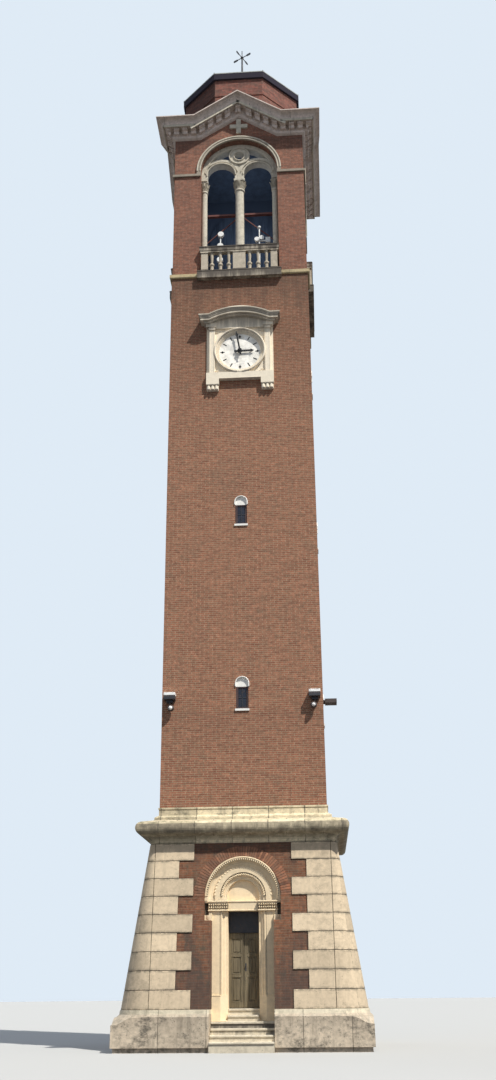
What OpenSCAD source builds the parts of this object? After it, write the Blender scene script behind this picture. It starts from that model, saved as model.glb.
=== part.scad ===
// Square brick bell tower on a battered, quoined base, with an arched belfry,
// a gabled stone cornice, an octagonal drum and a wall clock.
// The front faces -Y, +Z is up, the origin is the middle of the base on the ground.

/* [Shaft] */
// Width of the square shaft, face to face
shaft_w = 4900; // [4600:50:5200]
// Thickness of the brick walls
wall_t = 650; // [550:25:750]
// Top of the shaft's brickwork
shaft_top_z = 25190; // [24500:50:26000]

/* [Plinth] */
// How far the plinth stands out from the foot of the battered wall
plinth_out = 130; // [110:5:180]
// Height of the plinth's upright faces
plinth_h = 865; // [820:5:890]
// Height of the upright face at the four corners
plinth_corner_h = 675; // [620:5:720]
// Height of the recessed course at the ground
footing_h = 120; // [80:10:200]
// Depth of that recess
footing_inset = 60; // [30:5:100]
// Top of the plinth's weathered slope
slope_top_z = 930; // [910:5:950]
// Height of the flat course on the plinth
cap_h = 110; // [60:5:140]
// Overhang of the flat course over the battered wall
cap_lip = 50; // [20:5:80]

/* [Battered base] */
// How far the foot of the battered wall stands out from the shaft
foot_out = 900; // [860:10:940]
// How far the head of the battered wall stands out from the shaft
head_out = 210; // [170:10:250]
// Top of the battered wall
base_top_z = 5410; // [5200:10:5600]
// Number of quoin courses
quoin_n = 9; // [7:2:11]
// Distance of a long quoin's end from the line of the shaft's corner
quoin_long = 1070; // [980:10:1140]
// How far the quoins stand out from the brick
quoin_proud = 25; // [10:5:40]
// Depth of the long quoins at the head of the wall
quoin_depth = 310; // [250:10:400]

/* [Base cornice] */
// Height of the cove under the round moulding
cove_h = 225; // [150:5:260]
// How far the top of the cove stands out from the shaft
cove_out = 415; // [380:5:450]
// Radius of the round moulding
torus_r = 195; // [150:5:220]
// Height of the stone band on the cornice
band_h = 350; // [250:10:420]
// Overhang of the band's top edge
band_lip = 35; // [20:5:60]
// Overhang of the band's foot
band_foot = 130; // [90:5:160]

/* [Portal and door] */
// Half width of the brick opening for the portal
portal_x = 870; // [820:10:920]
// Half width of the doorway between the jambs
door_x = 430; // [380:10:460]
// Door sill above the ground
sill_z = 1045; // [1000:5:1100]
// Head of the doorway, the underside of the lintel
door_head_z = 3560; // [3500:10:3600]
// Top of the capitals and the lintel
capital_top_z = 3830; // [3750:10:3860]
// Centre height of the portal's arch
arch_z = 3950; // [3910:10:3980]
// Outer radius of the portal's arch
arch_r = 1070; // [1020:10:1100]
// Radius of the tympanum
tympanum_r = 450; // [435:5:470]
// Depth of the jambs' front behind the foot of the battered wall
jamb_set = 680; // [650:10:710]
// Depth of the arch's outer rim behind the foot of the battered wall
rim_set = 570; // [540:10:600]
// Depth of the door leaves' front behind the foot of the battered wall
door_set = 1100; // [1060:10:1130]
// Height of one door leaf
leaf_h = 1930; // [1800:10:2000]
// Thickness of a door leaf
leaf_t = 55; // [45:5:70]
// Gap around a door leaf
leaf_gap = 6; // [6:1:8]
// Thickness of the threshold plate under the leaves
threshold_h = 12; // [8:1:20]
// Radius of the pivot pins that carry the leaves
pin_r = 10; // [8:1:12]
// Distance of the pivot from a leaf's outer edge
pin_in = 24; // [20:1:26]
// Radial gap of a pivot pin in its leaf
pin_gap = 0.05; // [0.02:0.01:0.1]
// Half width of the passage behind the door
passage_x = 520; // [500:10:560]

/* [Steps] */
// Height of the lowest step
first_rise = 260; // [220:10:280]
// Depth of a tread
tread = 225; // [215:5:225]
// Half width of the wide steps
step_x = 860; // [820:5:865]
// How far the lowest step stands in front of the plinth
step_out = 140; // [100:10:180]

/* [Small windows] */
// Width of a window opening
win_w = 380; // [340:10:390]
// Height of a window opening
win_h = 690; // [650:10:730]
// Sill height of the lowest window
win_z = 9370; // [9000:10:9800]
// Height from one window to the next
win_step = 6100; // [5800:50:6200]
// Width of the stone lunette and sill
win_stone_w = 436; // [400:4:480]
// Height of the stone lunette
lunette_h = 320; // [290:5:360]
// Height of the window sill
win_sill_h = 65; // [55:5:90]
// How far window stones stand out
win_proud = 25; // [10:5:40]
// Depth of the window stones in the wall
win_stone_t = 180; // [120:10:240]

/* [Clock] */
// Height of the clock's centre
clock_z = 22000; // [21870:10:22070]
// Radius of the dial
dial_r = 720; // [700:10:740]
// Outer radius of the round frame
ring_r = 895; // [880:5:910]
// Half width of the clock's case over its pilasters
case_x = 1065; // [1030:5:1080]
// How far the case stands out from the wall
case_out = 150; // [130:5:180]
// Thickness of the dial's plate
dial_t = 25; // [20:1:30]
// Depth of the sunk corners around the round frame
spandrel_d = 70; // [50:5:80]
// Width of the case's pilasters
case_pilaster_w = 200; // [190:5:210]
// Half width of the hood
hood_x = 1420; // [1360:10:1460]
// How far the hood stands out from the wall
hood_out = 460; // [430:10:500]
// Top of the hood's flat ends above the clock's centre
hood_top = 1350; // [1320:10:1380]
// Rise of the hood's arched middle
hood_rise = 270; // [220:10:320]
// Thickness of the hood's moulding
hood_h = 280; // [260:10:310]
// Half width of the hood's arched middle
hood_arch_x = 1060; // [1000:10:1100]
// Length of the minute hand
minute_len = 780; // [740:10:790]
// Length of the hour hand
hour_len = 495; // [450:5:530]
// Gap around the clock's arbor in a hand
arbor_gap = 0.05; // [0.02:0.01:0.1]

/* [Lamps on the shaft] */
// Distance of a lamp from the middle of the front
flood_x = 2200; // [2150:10:2250]
// Height of the lamps' housings
flood_z = 9770; // [9700:10:9850]

/* [Belfry] */
// Setback of the belfry's walls from the shaft's faces
belfry_inset = 20; // [10:5:40]
// Height of the sill ledge
ledge_h = 190; // [150:10:220]
// Overhang of the sill ledge over the shaft
ledge_out = 70; // [40:5:100]
// Half width of the arched opening
light_x = 1440; // [1380:10:1480]
// Centre height of the arches
spring_z = 30050; // [29700:50:30400]
// Setback of the tracery from the wall's face
tracery_set = 240; // [200:10:280]
// Thickness of the tracery
tracery_t = 300; // [240:10:320]
// Radius of the two small arches
bay_r = 520; // [500:5:540]
// Width of the small arches' rings
bay_ring = 250; // [220:5:260]
// Width of the large arch's ring
big_ring = 190; // [160:5:220]
// Radius of the round eye
eye_r = 180; // [150:5:210]
// Outer radius of the ring around the eye
eye_ring_r = 400; // [370:5:430]
// Height of the eye's centre above the springing
eye_rise = 890; // [860:5:920]
// Radius of the middle column
column_r = 165; // [140:5:168]
// Height of a capital
capital_h = 490; // [400:10:540]
// Foot of the capitals' impost below the springing
impost_h = 230; // [180:10:260]
// Width of the hood mould around the arch
mould_w = 150; // [120:5:180]
// How far hood mould and string stand out
mould_out = 65; // [40:5:90]
// Height of the string course
string_h = 100; // [80:5:130]
// Distance between the louvre boards of the back and side openings
louvre_pitch = 170; // [150:10:200]

/* [Balconies] */
// Half width of a balcony slab
slab_x = 1510; // [1480:5:1560]
// Thickness of a balcony slab
slab_h = 310; // [260:10:340]
// How far a balcony slab stands out from the belfry's wall
slab_out = 220; // [180:10:280]
// Height of the rail above the slab
rail_z = 1070; // [1000:10:1150]
// Height of the rail
rail_h = 260; // [200:10:280]
// Depth of the rail
rail_d = 240; // [200:10:260]
// Radius of a baluster at its belly
baluster_r = 85; // [75:5:95]

/* [Top cornice and roof] */
// Height of the cornice's foot above the ledge
cornice_rise = 6210; // [6150:10:6300]
// Height of the cornice
cornice_h = 660; // [620:10:700]
// Overhang of the cornice from the belfry's wall
cornice_out = 675; // [620:5:720]
// Pitch of the gables
gable_pitch = 33.5; // [30:0.5:36]
// Distance of the gables' foot from the belfry's corner
gable_in = 960; // [900:10:1010]
// Distance between the cornice's blocks
block_pitch = 325; // [300:5:360]
// Width of a cornice block
block_w = 200; // [180:10:220]
// Thickness of the belfry's ceiling slab
ceiling_t = 140; // [120:10:200]
// Length of the gable cross's arms from its middle
cross_arm = 340; // [300:10:360]
// Width of those arms
cross_w = 176; // [140:4:200]
// How far the cross stands out from the wall
cross_t = 60; // [40:5:80]
// Gap between the cross and the raking cornice
cross_gap = 25; // [15:5:60]
// Gap between the gables and what stands behind them
seat_gap = 0.3; // [0.2:0.1:1]

/* [Drum and finial] */
// Setback of the drum's faces behind the belfry's walls
drum_set = 180; // [150:5:200]
// Thickness of the drum's walls
drum_t = 350; // [300:10:400]
// Height of the drum's brickwork
drum_h = 2480; // [2400:20:2700]
// Overhang of the drum's eave
eave_out = 85; // [60:5:120]
// Height of the eave's fascia
eave_h = 310; // [240:10:340]
// Pitch of the drum's roof
roof_pitch = 19; // [15:1:24]
// Height of the finial above the roof's point
finial_h = 2860; // [2600:20:3000]
// Length of a finial arm
finial_arm = 430; // [380:10:480]

/* [Hidden] */

brick = "#9a5f48";
stone = "#d8c7a6";
grey_stone = "#a79c8a";
wood = "#6d6548";
dark_wood = "#3d3a35";
iron = "#2b2a2c";
lead = "#3b3840";

far = 60000;
room_x = shaft_w / 2 - wall_t;
corner_x = shaft_w / 2;
base_foot = corner_x + foot_out;
base_head = corner_x + head_out;
plinth_w = 2 * (base_foot + plinth_out);
quoin_long_x = corner_x - quoin_long;
quoin_bed = base_head - quoin_depth;
cove_top = corner_x + cove_out;
jamb_y = base_foot - jamb_set;
rim_y = base_foot - rim_set;
door_y = base_foot - door_set;
batter = (base_foot - base_head) / (base_top_z - sill_z);
cap_z = slope_top_z + cap_h;
course_h = (base_top_z - cap_z) / quoin_n;
torus_z = base_top_z + cove_h + torus_r;
weather_h = 85;
band_z = torus_z + torus_r + weather_h;
band_top_z = band_z + band_h;
floor_z = shaft_top_z + ledge_h;
belfry_x = shaft_w / 2 - belfry_inset;
drum_w = 2 * (belfry_x - drum_set);
gable_x = belfry_x - gable_in;
bed_z = floor_z + cornice_rise;
eaves_z = bed_z + cornice_h;
win_rows = [0, 1, 2];
bay_x = column_r + 5 + bay_r;

function arc(cx, cy, r, a0, a1, n) =
    [for (i = [0:n]) let (a = a0 + (a1 - a0) * i / n) [cx + r * cos(a), cy + r * sin(a)]];

// Turns its children to a side: 0 front, 1 right, 2 back, 3 left
module on_side(k) {
    rotate([0, 0, 90 * k]) children();
}

module block(x0, x1, y0, y1, z0, z1) {
    translate([x0, y0, z0]) cube([x1 - x0, y1 - y0, z1 - z0]);
}

// A bar along Y whose section is the outline in X and Z
module along_y(y0, y1) {
    translate([0, y1, 0]) rotate([90, 0, 0]) linear_extrude(y1 - y0) children();
}

// Mass with square sections, from half widths and heights [w, z] listed upwards
module square_mass(outline) {
    mirrored = [for (i = [len(outline) - 1:-1:0]) [-outline[i][0], outline[i][1]]];
    intersection() {
        along_y(-far, far) polygon(concat(outline, mirrored));
        rotate([0, 0, 90]) along_y(-far, far) polygon(concat(outline, mirrored));
    }
}

function batter_w(z) = base_foot - batter * (z - sill_z);

// Battered mass between two heights, in front of and behind the shaft's faces
module battered_slab(z0, z1, grow) {
    w0 = batter_w(z0) + grow;
    w1 = batter_w(z1) + grow;
    rotate([0, 0, 90]) along_y(-corner_x, corner_x) polygon([[-w0, z0], [w0, z0], [w1, z1], [-w1, z1]]);
}

// Quarter of a round body at each corner of the shaft, from radii and heights [r, z]
module round_corners(outline) {
    for (k = [0:3]) on_side(k) translate([corner_x, corner_x, 0]) rotate_extrude(angle = 90, $fn = 96)
        polygon(outline);
}

// Battered mass on all sides, its four corners rounded as parts of cones
module battered_mass(z0, z1, grow) {
    r0 = batter_w(z0) + grow - corner_x;
    r1 = batter_w(z1) + grow - corner_x;
    battered_slab(z0, z1, grow);
    rotate([0, 0, 90]) battered_slab(z0, z1, grow);
    round_corners([[0, z0], [r0, z0], [r1, z1], [0, z1]]);
}

// Plinth: square below, its slope turning round the rounded corners of the base
cap_r = batter_w(slope_top_z) + cap_lip - corner_x;
half_plinth = plinth_w / 2;
edge_r = half_plinth - corner_x;
dip_start_r = edge_r * 1.07;
dip_end_r = edge_r * 1.36;

function dip_z(t) = plinth_h - 6 - (plinth_h - 6 - plinth_corner_h) * (1 - cos(180 * t)) / 2;

// Length of plinth along X, in front of the room
module plinth_run(x0, x1) {
    recess_y = half_plinth - footing_inset;
    translate([x0, 0, 0]) rotate([90, 0, 90]) linear_extrude(x1 - x0) polygon(
        [[-room_x, 0], [-recess_y, 0], [-recess_y, footing_h], [-half_plinth, footing_h],
         [-half_plinth, plinth_h], [-corner_x - cap_r, slope_top_z], [-room_x, slope_top_z]]);
}

module plinth_corner() {
    lip = edge_r - footing_inset;
    dip = [for (i = [6:-1:0]) [dip_start_r + (dip_end_r - dip_start_r) * i / 6, dip_z(i / 6)]];
    translate([corner_x, corner_x, 0]) intersection() {
        rotate_extrude(angle = 90, $fn = 96) polygon(concat(
            [[0, 0], [edge_r * 1.5, 0], [edge_r * 1.5, plinth_corner_h]], dip,
            [[edge_r + 12, plinth_h], [cap_r, slope_top_z], [0, slope_top_z]]));
        union() {
            cube([lip, lip, footing_h]);
            translate([0, 0, footing_h]) cube([edge_r, edge_r, slope_top_z]);
        }
    }
}

module plinth_front_left() {
    color(stone) {
        plinth_run(-corner_x, -portal_x);
        on_side(3) plinth_run(room_x, corner_x);
        on_side(2) plinth_corner();
    }
}

module plinth_front_right() {
    color(stone) {
        plinth_run(portal_x, corner_x);
        on_side(1) plinth_run(-corner_x, -room_x);
        on_side(3) plinth_corner();
    }
}

module plinth_right() { color(stone) on_side(1) plinth_run(-room_x, room_x); }
module plinth_left() { color(stone) on_side(3) plinth_run(-room_x, room_x); }

module plinth_back() {
    color(stone) {
        on_side(2) plinth_run(-corner_x, corner_x);
        on_side(1) plinth_run(room_x, corner_x);
        on_side(3) plinth_run(-corner_x, -room_x);
        for (k = [0, 1]) on_side(k) plinth_corner();
    }
}

module plinth_cap() {
    color(stone) difference() {
        battered_mass(slope_top_z, cap_z, cap_lip);
        block(-room_x, room_x, -room_x, room_x, 0, far);
        block(-portal_x, portal_x, -far, 0, 0, far);
    }
}

// Battered base
module long_quoin_arms() {
    for (k = [0:3], i = [0:2:quoin_n - 1]) {
        z0 = cap_z + course_h * (quoin_n - 1 - i);
        on_side(k) for (s = [-1, 1]) {
            x0 = s < 0 ? -room_x : quoin_long_x;
            block(x0, x0 + room_x - quoin_long_x, -far, -quoin_bed, z0, z0 + course_h);
        }
    }
}

module quoin_corners() {
    color(stone) intersection() {
        battered_mass(cap_z, base_top_z, quoin_proud);
        union() {
            long_quoin_arms();
            for (k = [0:3]) on_side(k) block(room_x, far, -far, -room_x, cap_z, base_top_z);
        }
    }
}

module base_wall(x0, x1, z0) {
    difference() {
        intersection() {
            battered_slab(cap_z, base_top_z, 0);
            block(x0, x1, -far, -room_x, z0, far);
        }
        long_quoin_arms();
    }
}

// Space that the portal takes out of the front wall
module portal_void() {
    block(-portal_x, portal_x, -far, -door_y, 0, capital_top_z);
    block(-arch_r, arch_r, -far, -door_y, corbel_z, arch_z);
    translate([0, 0, arch_z]) along_y(-far, -door_y) circle(arch_r, $fn = 96);
    block(-passage_x, passage_x, -door_y - 1, 0, 0, passage_head_z);
}

corbel_z = door_head_z - 260;
passage_head_z = sill_z + leaf_h + 190;

module base_wall_front_left() {
    color(brick) difference() { base_wall(-room_x, -passage_x, cap_z); portal_void(); }
}
module base_wall_front_right() {
    color(brick) difference() { base_wall(passage_x, room_x, cap_z); portal_void(); }
}
module base_wall_over_door() {
    color(brick) difference() { base_wall(-passage_x, passage_x, passage_head_z); portal_void(); }
}
module base_wall_right() { color(brick) on_side(1) base_wall(-room_x, room_x, cap_z); }
module base_wall_back() { color(brick) on_side(2) base_wall(-room_x, room_x, cap_z); }
module base_wall_left() { color(brick) on_side(3) base_wall(-room_x, room_x, cap_z); }

module ground_floor() {
    color(grey_stone) block(-room_x, room_x, -room_x, room_x, 0, sill_z);
}

// Entrance steps
wide_steps = 4;
rise = (sill_z - first_rise) / (wide_steps + 1);
pedestal_foot_z = first_rise + (wide_steps - 1) * rise;

module entrance_steps() {
    front = half_plinth + step_out;
    color(stone) for (i = [0:wide_steps + 1]) {
        half = i < wide_steps ? step_x : door_x;
        block(-half, half, -front + i * tread, -room_x, i == 0 ? 0 : first_rise + (i - 1) * rise,
              first_rise + i * rise);
    }
}

// Portal
pedestal_h = 655;
pedestal_foot_h = 190;
pedestal_out = 25;
splay_w = 200;
splay_d = 130;
abacus_h = 60;
capital_x = portal_x + 105;
corbel_h = 150;

module jamb_prism(out, z0, z1) {
    translate([0, 0, z0]) linear_extrude(z1 - z0) polygon([
        [door_x, -door_y], [door_x, -jamb_y - out + splay_d], [door_x + splay_w, -jamb_y - out],
        [portal_x, -jamb_y - out], [portal_x, -door_y]]);
}

module portal_jamb(side) {
    foot_top_z = pedestal_foot_z + pedestal_foot_h;
    pedestal_top_z = pedestal_foot_z + pedestal_h;
    abacus_z = capital_top_z - abacus_h;
    mirror([side < 0 ? 1 : 0, 0, 0]) color(stone) {
        jamb_prism(pedestal_out + 20, pedestal_foot_z, foot_top_z);
        jamb_prism(pedestal_out, foot_top_z, pedestal_top_z);
        jamb_prism(0, pedestal_top_z, door_head_z);
        block(door_x, capital_x, -jamb_y - 50, -door_y, door_head_z, abacus_z);
        block(door_x, arch_r, -jamb_y - 75, -door_y, abacus_z, capital_top_z);
        block(portal_x, arch_r, -rim_y + 20, -door_y, corbel_z, corbel_z + corbel_h);
    }
}

module portal_jamb_left() { portal_jamb(-1); }
module portal_jamb_right() { portal_jamb(1); }

module portal_tympanum() {
    front = 190 - jamb_y;
    color(stone) {
        block(-door_x, door_x, -jamb_y + 30, -door_y, door_head_z, capital_top_z);
        intersection() {
            union() {
                translate([0, 0, arch_z]) along_y(front, -door_y) circle(tympanum_r, $fn = 96);
                block(-tympanum_r, tympanum_r, front, -door_y, capital_top_z, arch_z);
            }
            block(-far, far, -far, far, capital_top_z, far);
        }
    }
}

// Section of the portal's arch: radius and distance in front of the tower's middle
ring_out = arch_r - 275;
ring_in = tympanum_r + 195;
function arch_section() = [
    [arch_r, door_y], [arch_r, rim_y], [arch_r - 75, rim_y], [arch_r - 85, rim_y - 35],
    [arch_r - 120, jamb_y + 10], [arch_r - 170, jamb_y - 25], [ring_out + 45, jamb_y - 35],
    [ring_out + 5, jamb_y - 25], [ring_out, jamb_y], [ring_in, jamb_y], [ring_in - 10, jamb_y - 40],
    [tympanum_r + 115, jamb_y - 50], [tympanum_r + 105, jamb_y - 70], [tympanum_r + 10, jamb_y - 110],
    [tympanum_r, jamb_y - 115], [tympanum_r, door_y]];

module portal_arch() {
    stilt = arch_z - capital_top_z;
    color(stone) {
        translate([0, 0, arch_z]) rotate([90, 0, 0])
            rotate_extrude(angle = 180, $fn = 96) polygon(arch_section());
        for (s = [0, 1]) mirror([s, 0, 0]) translate([0, 0, capital_top_z]) linear_extrude(stilt)
            polygon([for (p = arch_section()) [p[0], -p[1]]]);
    }
}

// Door
leaf_foot_z = sill_z + threshold_h + leaf_gap;
leaf_top_z = leaf_foot_z + leaf_h;
leaf_x = door_x - leaf_gap;
pivot_x = leaf_x - pin_in;
pivot_y = door_y - leaf_t / 2;
post_x = pivot_x + norm([pin_in, leaf_t / 2]) + leaf_gap;
pin_depth = 40;

module door_frame() {
    back = -door_y + leaf_t;
    head_z = leaf_top_z + leaf_gap;
    color(iron) {
        block(-door_x, door_x, -door_y - 60, -door_y, head_z, door_head_z);
        block(-passage_x, passage_x, -door_y, back, head_z, passage_head_z);
        block(-passage_x, passage_x, -door_y, back, sill_z, sill_z + threshold_h);
        for (s = [0, 1]) mirror([s, 0, 0]) {
            block(post_x, passage_x, -door_y, back, sill_z, head_z);
            translate([pivot_x, -pivot_y, sill_z]) cylinder(h = leaf_foot_z - sill_z + pin_depth, r = pin_r);
            translate([pivot_x, -pivot_y, leaf_top_z - pin_depth])
                cylinder(h = head_z - leaf_top_z + pin_depth + 10, r = pin_r);
        }
    }
}

module door_leaf(side) {
    mirror([side < 0 ? 1 : 0, 0, 0]) color(wood) difference() {
        block(leaf_gap / 2 + 1, leaf_x, -door_y, -door_y + leaf_t, leaf_foot_z, leaf_top_z);
        for (p = [[150, 640], [860, 460], [1390, 400]])
            block(80, leaf_x - 70, -door_y - 1, -door_y + 15, leaf_foot_z + p[0], leaf_foot_z + p[0] + p[1]);
        for (z = [leaf_foot_z - 1, leaf_top_z - pin_depth - 5])
            translate([pivot_x, -pivot_y, z]) cylinder(h = pin_depth + 6, r = pin_r + pin_gap);
    }
}

module door_leaf_left() { door_leaf(-1); }
module door_leaf_right() { door_leaf(1); }

// Base cornice with its cove, round moulding and band
module base_cornice() {
    lower = shaft_w / 2 + band_foot;
    upper = shaft_w / 2 + band_lip;
    outline = concat(
        [[base_head - 10, base_top_z], [base_head - 10, base_top_z + 30]],
        arc(cove_top, base_top_z + 30, cove_top - base_head - 10, 180, 90, 6),
        [[cove_top, base_top_z + cove_h]],
        arc(cove_top, torus_z, torus_r, -80, 80, 12),
        [[lower + 20, torus_z + torus_r + weather_h - 20], [lower, band_z], [lower, band_z + 60],
         [upper - 20, band_z + 130], [upper - 20, band_top_z - 60], [upper, band_top_z - 45],
         [upper, band_top_z]]);
    color(stone) difference() {
        square_mass(outline);
        block(-room_x, room_x, -room_x, room_x, 0, far);
    }
}

// Shaft with its small windows
function row_z(i) = win_z + i * win_step;

module lunette(i, out, depth, inset) {
    z = row_z(i) + win_h;
    r = win_stone_w / 2 - inset;
    centre_z = z + lunette_h - win_stone_w / 2;
    intersection() {
        union() {
            translate([0, 0, centre_z]) along_y(-shaft_w / 2 - out, -shaft_w / 2 + depth)
                circle(r, $fn = 48);
            block(-r, r, -shaft_w / 2 - out, -shaft_w / 2 + depth, z - inset, centre_z);
        }
        block(-r, r, -far, far, z - inset, far);
    }
}

module window_sill(i, out, depth) {
    block(-win_stone_w / 2, win_stone_w / 2, -shaft_w / 2 - out, -shaft_w / 2 + depth,
          row_z(i) - win_sill_h, row_z(i));
}

module window_cut(rows) {
    for (i = rows) {
        block(-win_w / 2, win_w / 2, -far, 0, row_z(i), row_z(i) + win_h);
        lunette(i, 10, win_stone_t, 0);
        window_sill(i, 10, win_stone_t);
    }
}

module shaft_wall(half, rows) {
    difference() {
        block(-half, half, -shaft_w / 2, -room_x, band_top_z, shaft_top_z);
        window_cut(rows);
        block(-slab_x, slab_x, -far, 0, floor_z - slab_h, far);
    }
}

module shaft_front() { color(brick) shaft_wall(shaft_w / 2, [0, 1]); }
module shaft_right() { color(brick) on_side(1) shaft_wall(room_x, win_rows); }
module shaft_back() { color(brick) on_side(2) shaft_wall(shaft_w / 2, win_rows); }
module shaft_left() { color(brick) on_side(3) shaft_wall(room_x, win_rows); }

module window_stones() {
    color(stone) for (k = [0:3]) on_side(k) for (i = k == 0 ? [0, 1] : win_rows) {
        difference() {
            lunette(i, win_proud, win_stone_t, 0);
            lunette(i, win_proud + 10, 25, 32);
        }
        window_sill(i, win_proud + 15, win_stone_t);
    }
}

// Clock
wall_y = shaft_w / 2;
apron_h = 250;
case_foot = clock_z - ring_r - apron_h + 15;
foot_w = 440;
foot_h = 210;
plate_x = case_x + 95;
plate_d = 30;
frame_lip = 60;

module hood_shape(inset) {
    rad = (hood_arch_x * hood_arch_x + hood_rise * hood_rise) / (2 * hood_rise);
    half = hood_x - inset;
    arch_half = hood_arch_x - inset;
    intersection() {
        union() {
            translate([0, hood_top + hood_rise - rad]) circle(rad, $fn = 180);
            translate([-half, -hood_x]) square([2 * half, hood_x + hood_top]);
        }
        translate([-half, -hood_x]) square([2 * half, 4 * hood_x]);
        union() {
            translate([-half, -hood_x]) square([2 * half, hood_x + hood_top]);
            translate([-hood_arch_x, 0]) square([2 * hood_arch_x, 4 * hood_x]);
        }
    }
}

// The hood's moulding: a band that follows the arched top
module hood_band(low, high, half, out) {
    translate([0, 0, clock_z]) along_y(-wall_y - out, -wall_y) difference() {
        translate([0, high]) hood_shape(hood_x - half);
        translate([0, low]) hood_shape(-100);
    }
}

// Section of the round frame: radius and distance from the wall
function frame_section() = [
    [dial_r, 0], [dial_r, dial_t + 30], [dial_r + 32, dial_t + 30], [dial_r + 32, dial_t + 60],
    [dial_r + 64, dial_t + 60], [dial_r + 64, dial_t + 90], [ring_r - frame_lip, dial_t + 90],
    [ring_r - frame_lip, case_out + 18], [ring_r - frame_lip + 12, case_out + 30],
    [ring_r - 12, case_out + 30], [ring_r, case_out + 18], [ring_r, 0]];

module clock_case() {
    frame_y = wall_y + case_out;
    frieze_z = clock_z + ring_r + 10;
    cap_z = clock_z + hood_top - hood_h;
    color(stone) difference() {
        union() {
            translate([0, 0, clock_z]) along_y(-frame_y, -wall_y) intersection() {
                translate([0, -hood_h]) hood_shape(hood_x - case_x);
                translate([-case_x, case_foot - clock_z]) square([2 * case_x, 4 * hood_x]);
            }
            block(-plate_x, plate_x, -wall_y - plate_d, -wall_y, case_foot, cap_z + 20);
            block(-plate_x, plate_x, -frame_y - 20, -wall_y, case_foot, case_foot + apron_h);
            for (s = [-1, 1]) translate([s * (plate_x - foot_w / 2), 0, 0]) {
                block(-foot_w / 2, foot_w / 2, -frame_y - 20, -wall_y, case_foot - foot_h, case_foot + 20);
                block(15 - foot_w / 2, foot_w / 2 - 15, 60 - frame_y, -wall_y, case_foot - 2 * foot_h,
                      case_foot - foot_h + 20);
            }
            for (s = [-1, 1]) translate([s * (case_x - case_pilaster_w / 2), 0, 0]) {
                block(-120, 120, -frame_y - 35, -wall_y, cap_z - 220, cap_z + 40);
                translate([s * 35, 0, 0]) block(-175, 175, -frame_y - 70, -wall_y, cap_z - 120, cap_z + 40);
            }
            hood_band(-hood_h, -hood_h * 0.78, hood_x - 170, hood_out - 170);
            for (i = [0:2]) {
                set = (3 - i) * 25;
                hood_band(-hood_h * (0.66 - 0.17 * i), -hood_h * (0.47 - 0.17 * i), hood_x - set, hood_out - set);
            }
            hood_band(-hood_h * 0.8, -hood_h * 0.64, hood_x - 65, hood_out - 65);
            hood_band(-hood_h * 0.17, 0, hood_x, hood_out);
        }
        block(case_pilaster_w - case_x, case_x - case_pilaster_w, -far, -frame_y + spandrel_d,
              case_foot + apron_h, frieze_z);
        translate([0, 0, clock_z]) along_y(-far, 0) circle(ring_r - 30, $fn = 96);
    }
    color(stone) intersection() {
        translate([0, -wall_y, clock_z]) rotate([90, 0, 0]) rotate_extrude($fn = 96) polygon(frame_section());
        block(-far, far, -far, 0, case_foot + apron_h, far);
    }
}

arbor_r = 30;
hand_t = 12;
hour_front = wall_y + dial_t + 50;
minute_front = hour_front + hand_t + 60;

module clock_dial() {
    color("white") {
        translate([0, 0, clock_z]) along_y(-wall_y - dial_t, -wall_y) circle(dial_r, $fn = 96);
        translate([0, 0, clock_z]) along_y(-minute_front - 30, -wall_y - dial_t + 5) circle(arbor_r, $fn = 48);
    }
}

// A clock hand that points up, with its hub at the origin of X and Z
module hand_outline(length, width, tail) {
    difference() {
        union() {
            circle(arbor_r + 45, $fn = 48);
            polygon([[-width / 2, -tail], [width / 2, -tail], [width / 2, length * 0.72],
                     [width * 0.9, length * 0.78], [0, length], [-width * 0.9, length * 0.78],
                     [-width / 2, length * 0.72]]);
        }
        circle(arbor_r + arbor_gap, $fn = 48);
    }
}

module clock_hand(length, width, tail, turn, front) {
    color("black") translate([0, 0, clock_z]) rotate([0, turn, 0])
        along_y(-front - hand_t, -front) hand_outline(length, width, tail);
}

module clock_hour_hand() { clock_hand(hour_len, 76, 190, 89, hour_front); }
module clock_minute_hand() { clock_hand(minute_len, 60, 190, -9, minute_front); }

// Lamps on the shaft
module shaft_floodlights() {
    color(lead) {
        for (s = [-1, 1]) translate([s * flood_x, 0, flood_z]) {
            block(-170, 170, -wall_y - 260, -wall_y, -110, 90);
            translate([0, -wall_y - 120, -300]) cylinder(h = 200, r = 20, $fn = 24);
            translate([-40 * s, -wall_y - 150, -370]) sphere(r = 100, $fn = 48);
        }
        on_side(1) translate([0, 0, flood_z - 70]) {
            block(-1900, -1500, -wall_y - 420, -wall_y - 60, -60, 60);
            block(-1740, -1660, -wall_y - 70, -wall_y, -60, 60);
        }
    }
}

// Belfry ledge and floor
module belfry_ledge() {
    half = shaft_w / 2 + ledge_out;
    color(grey_stone) difference() {
        square_mass([[half - 20, shaft_top_z], [half, shaft_top_z + 30], [half, floor_z - 40],
                     [belfry_x, floor_z]]);
        block(-room_x, room_x, -room_x, room_x, 0, far);
        for (k = [0:3]) on_side(k) block(-slab_x, slab_x, -far, 0, 0, far);
    }
}

module belfry_floor() {
    color(grey_stone) block(-room_x, room_x, -room_x, room_x, floor_z - 200, floor_z);
}

// Balcony with slab, balusters and rail
slab_y = belfry_x + slab_out;
rail_y = slab_y - 20;
pedestal_w = 235;
middle_pedestal_w = 450;
baluster_n = 3;

module baluster(height) {
    r = baluster_r;
    rotate_extrude($fn = 32) polygon(concat(
        [[0, 0], [r, 0], [r, 60], [r * 0.68, 90]],
        arc(r * 0.1, height * 0.36, r * 0.95, -50, 70, 6),
        [[r * 0.64, height * 0.78], [r * 0.7, height - 70], [r * 0.9, height - 50], [r * 0.9, height],
         [0, height]]));
}

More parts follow.
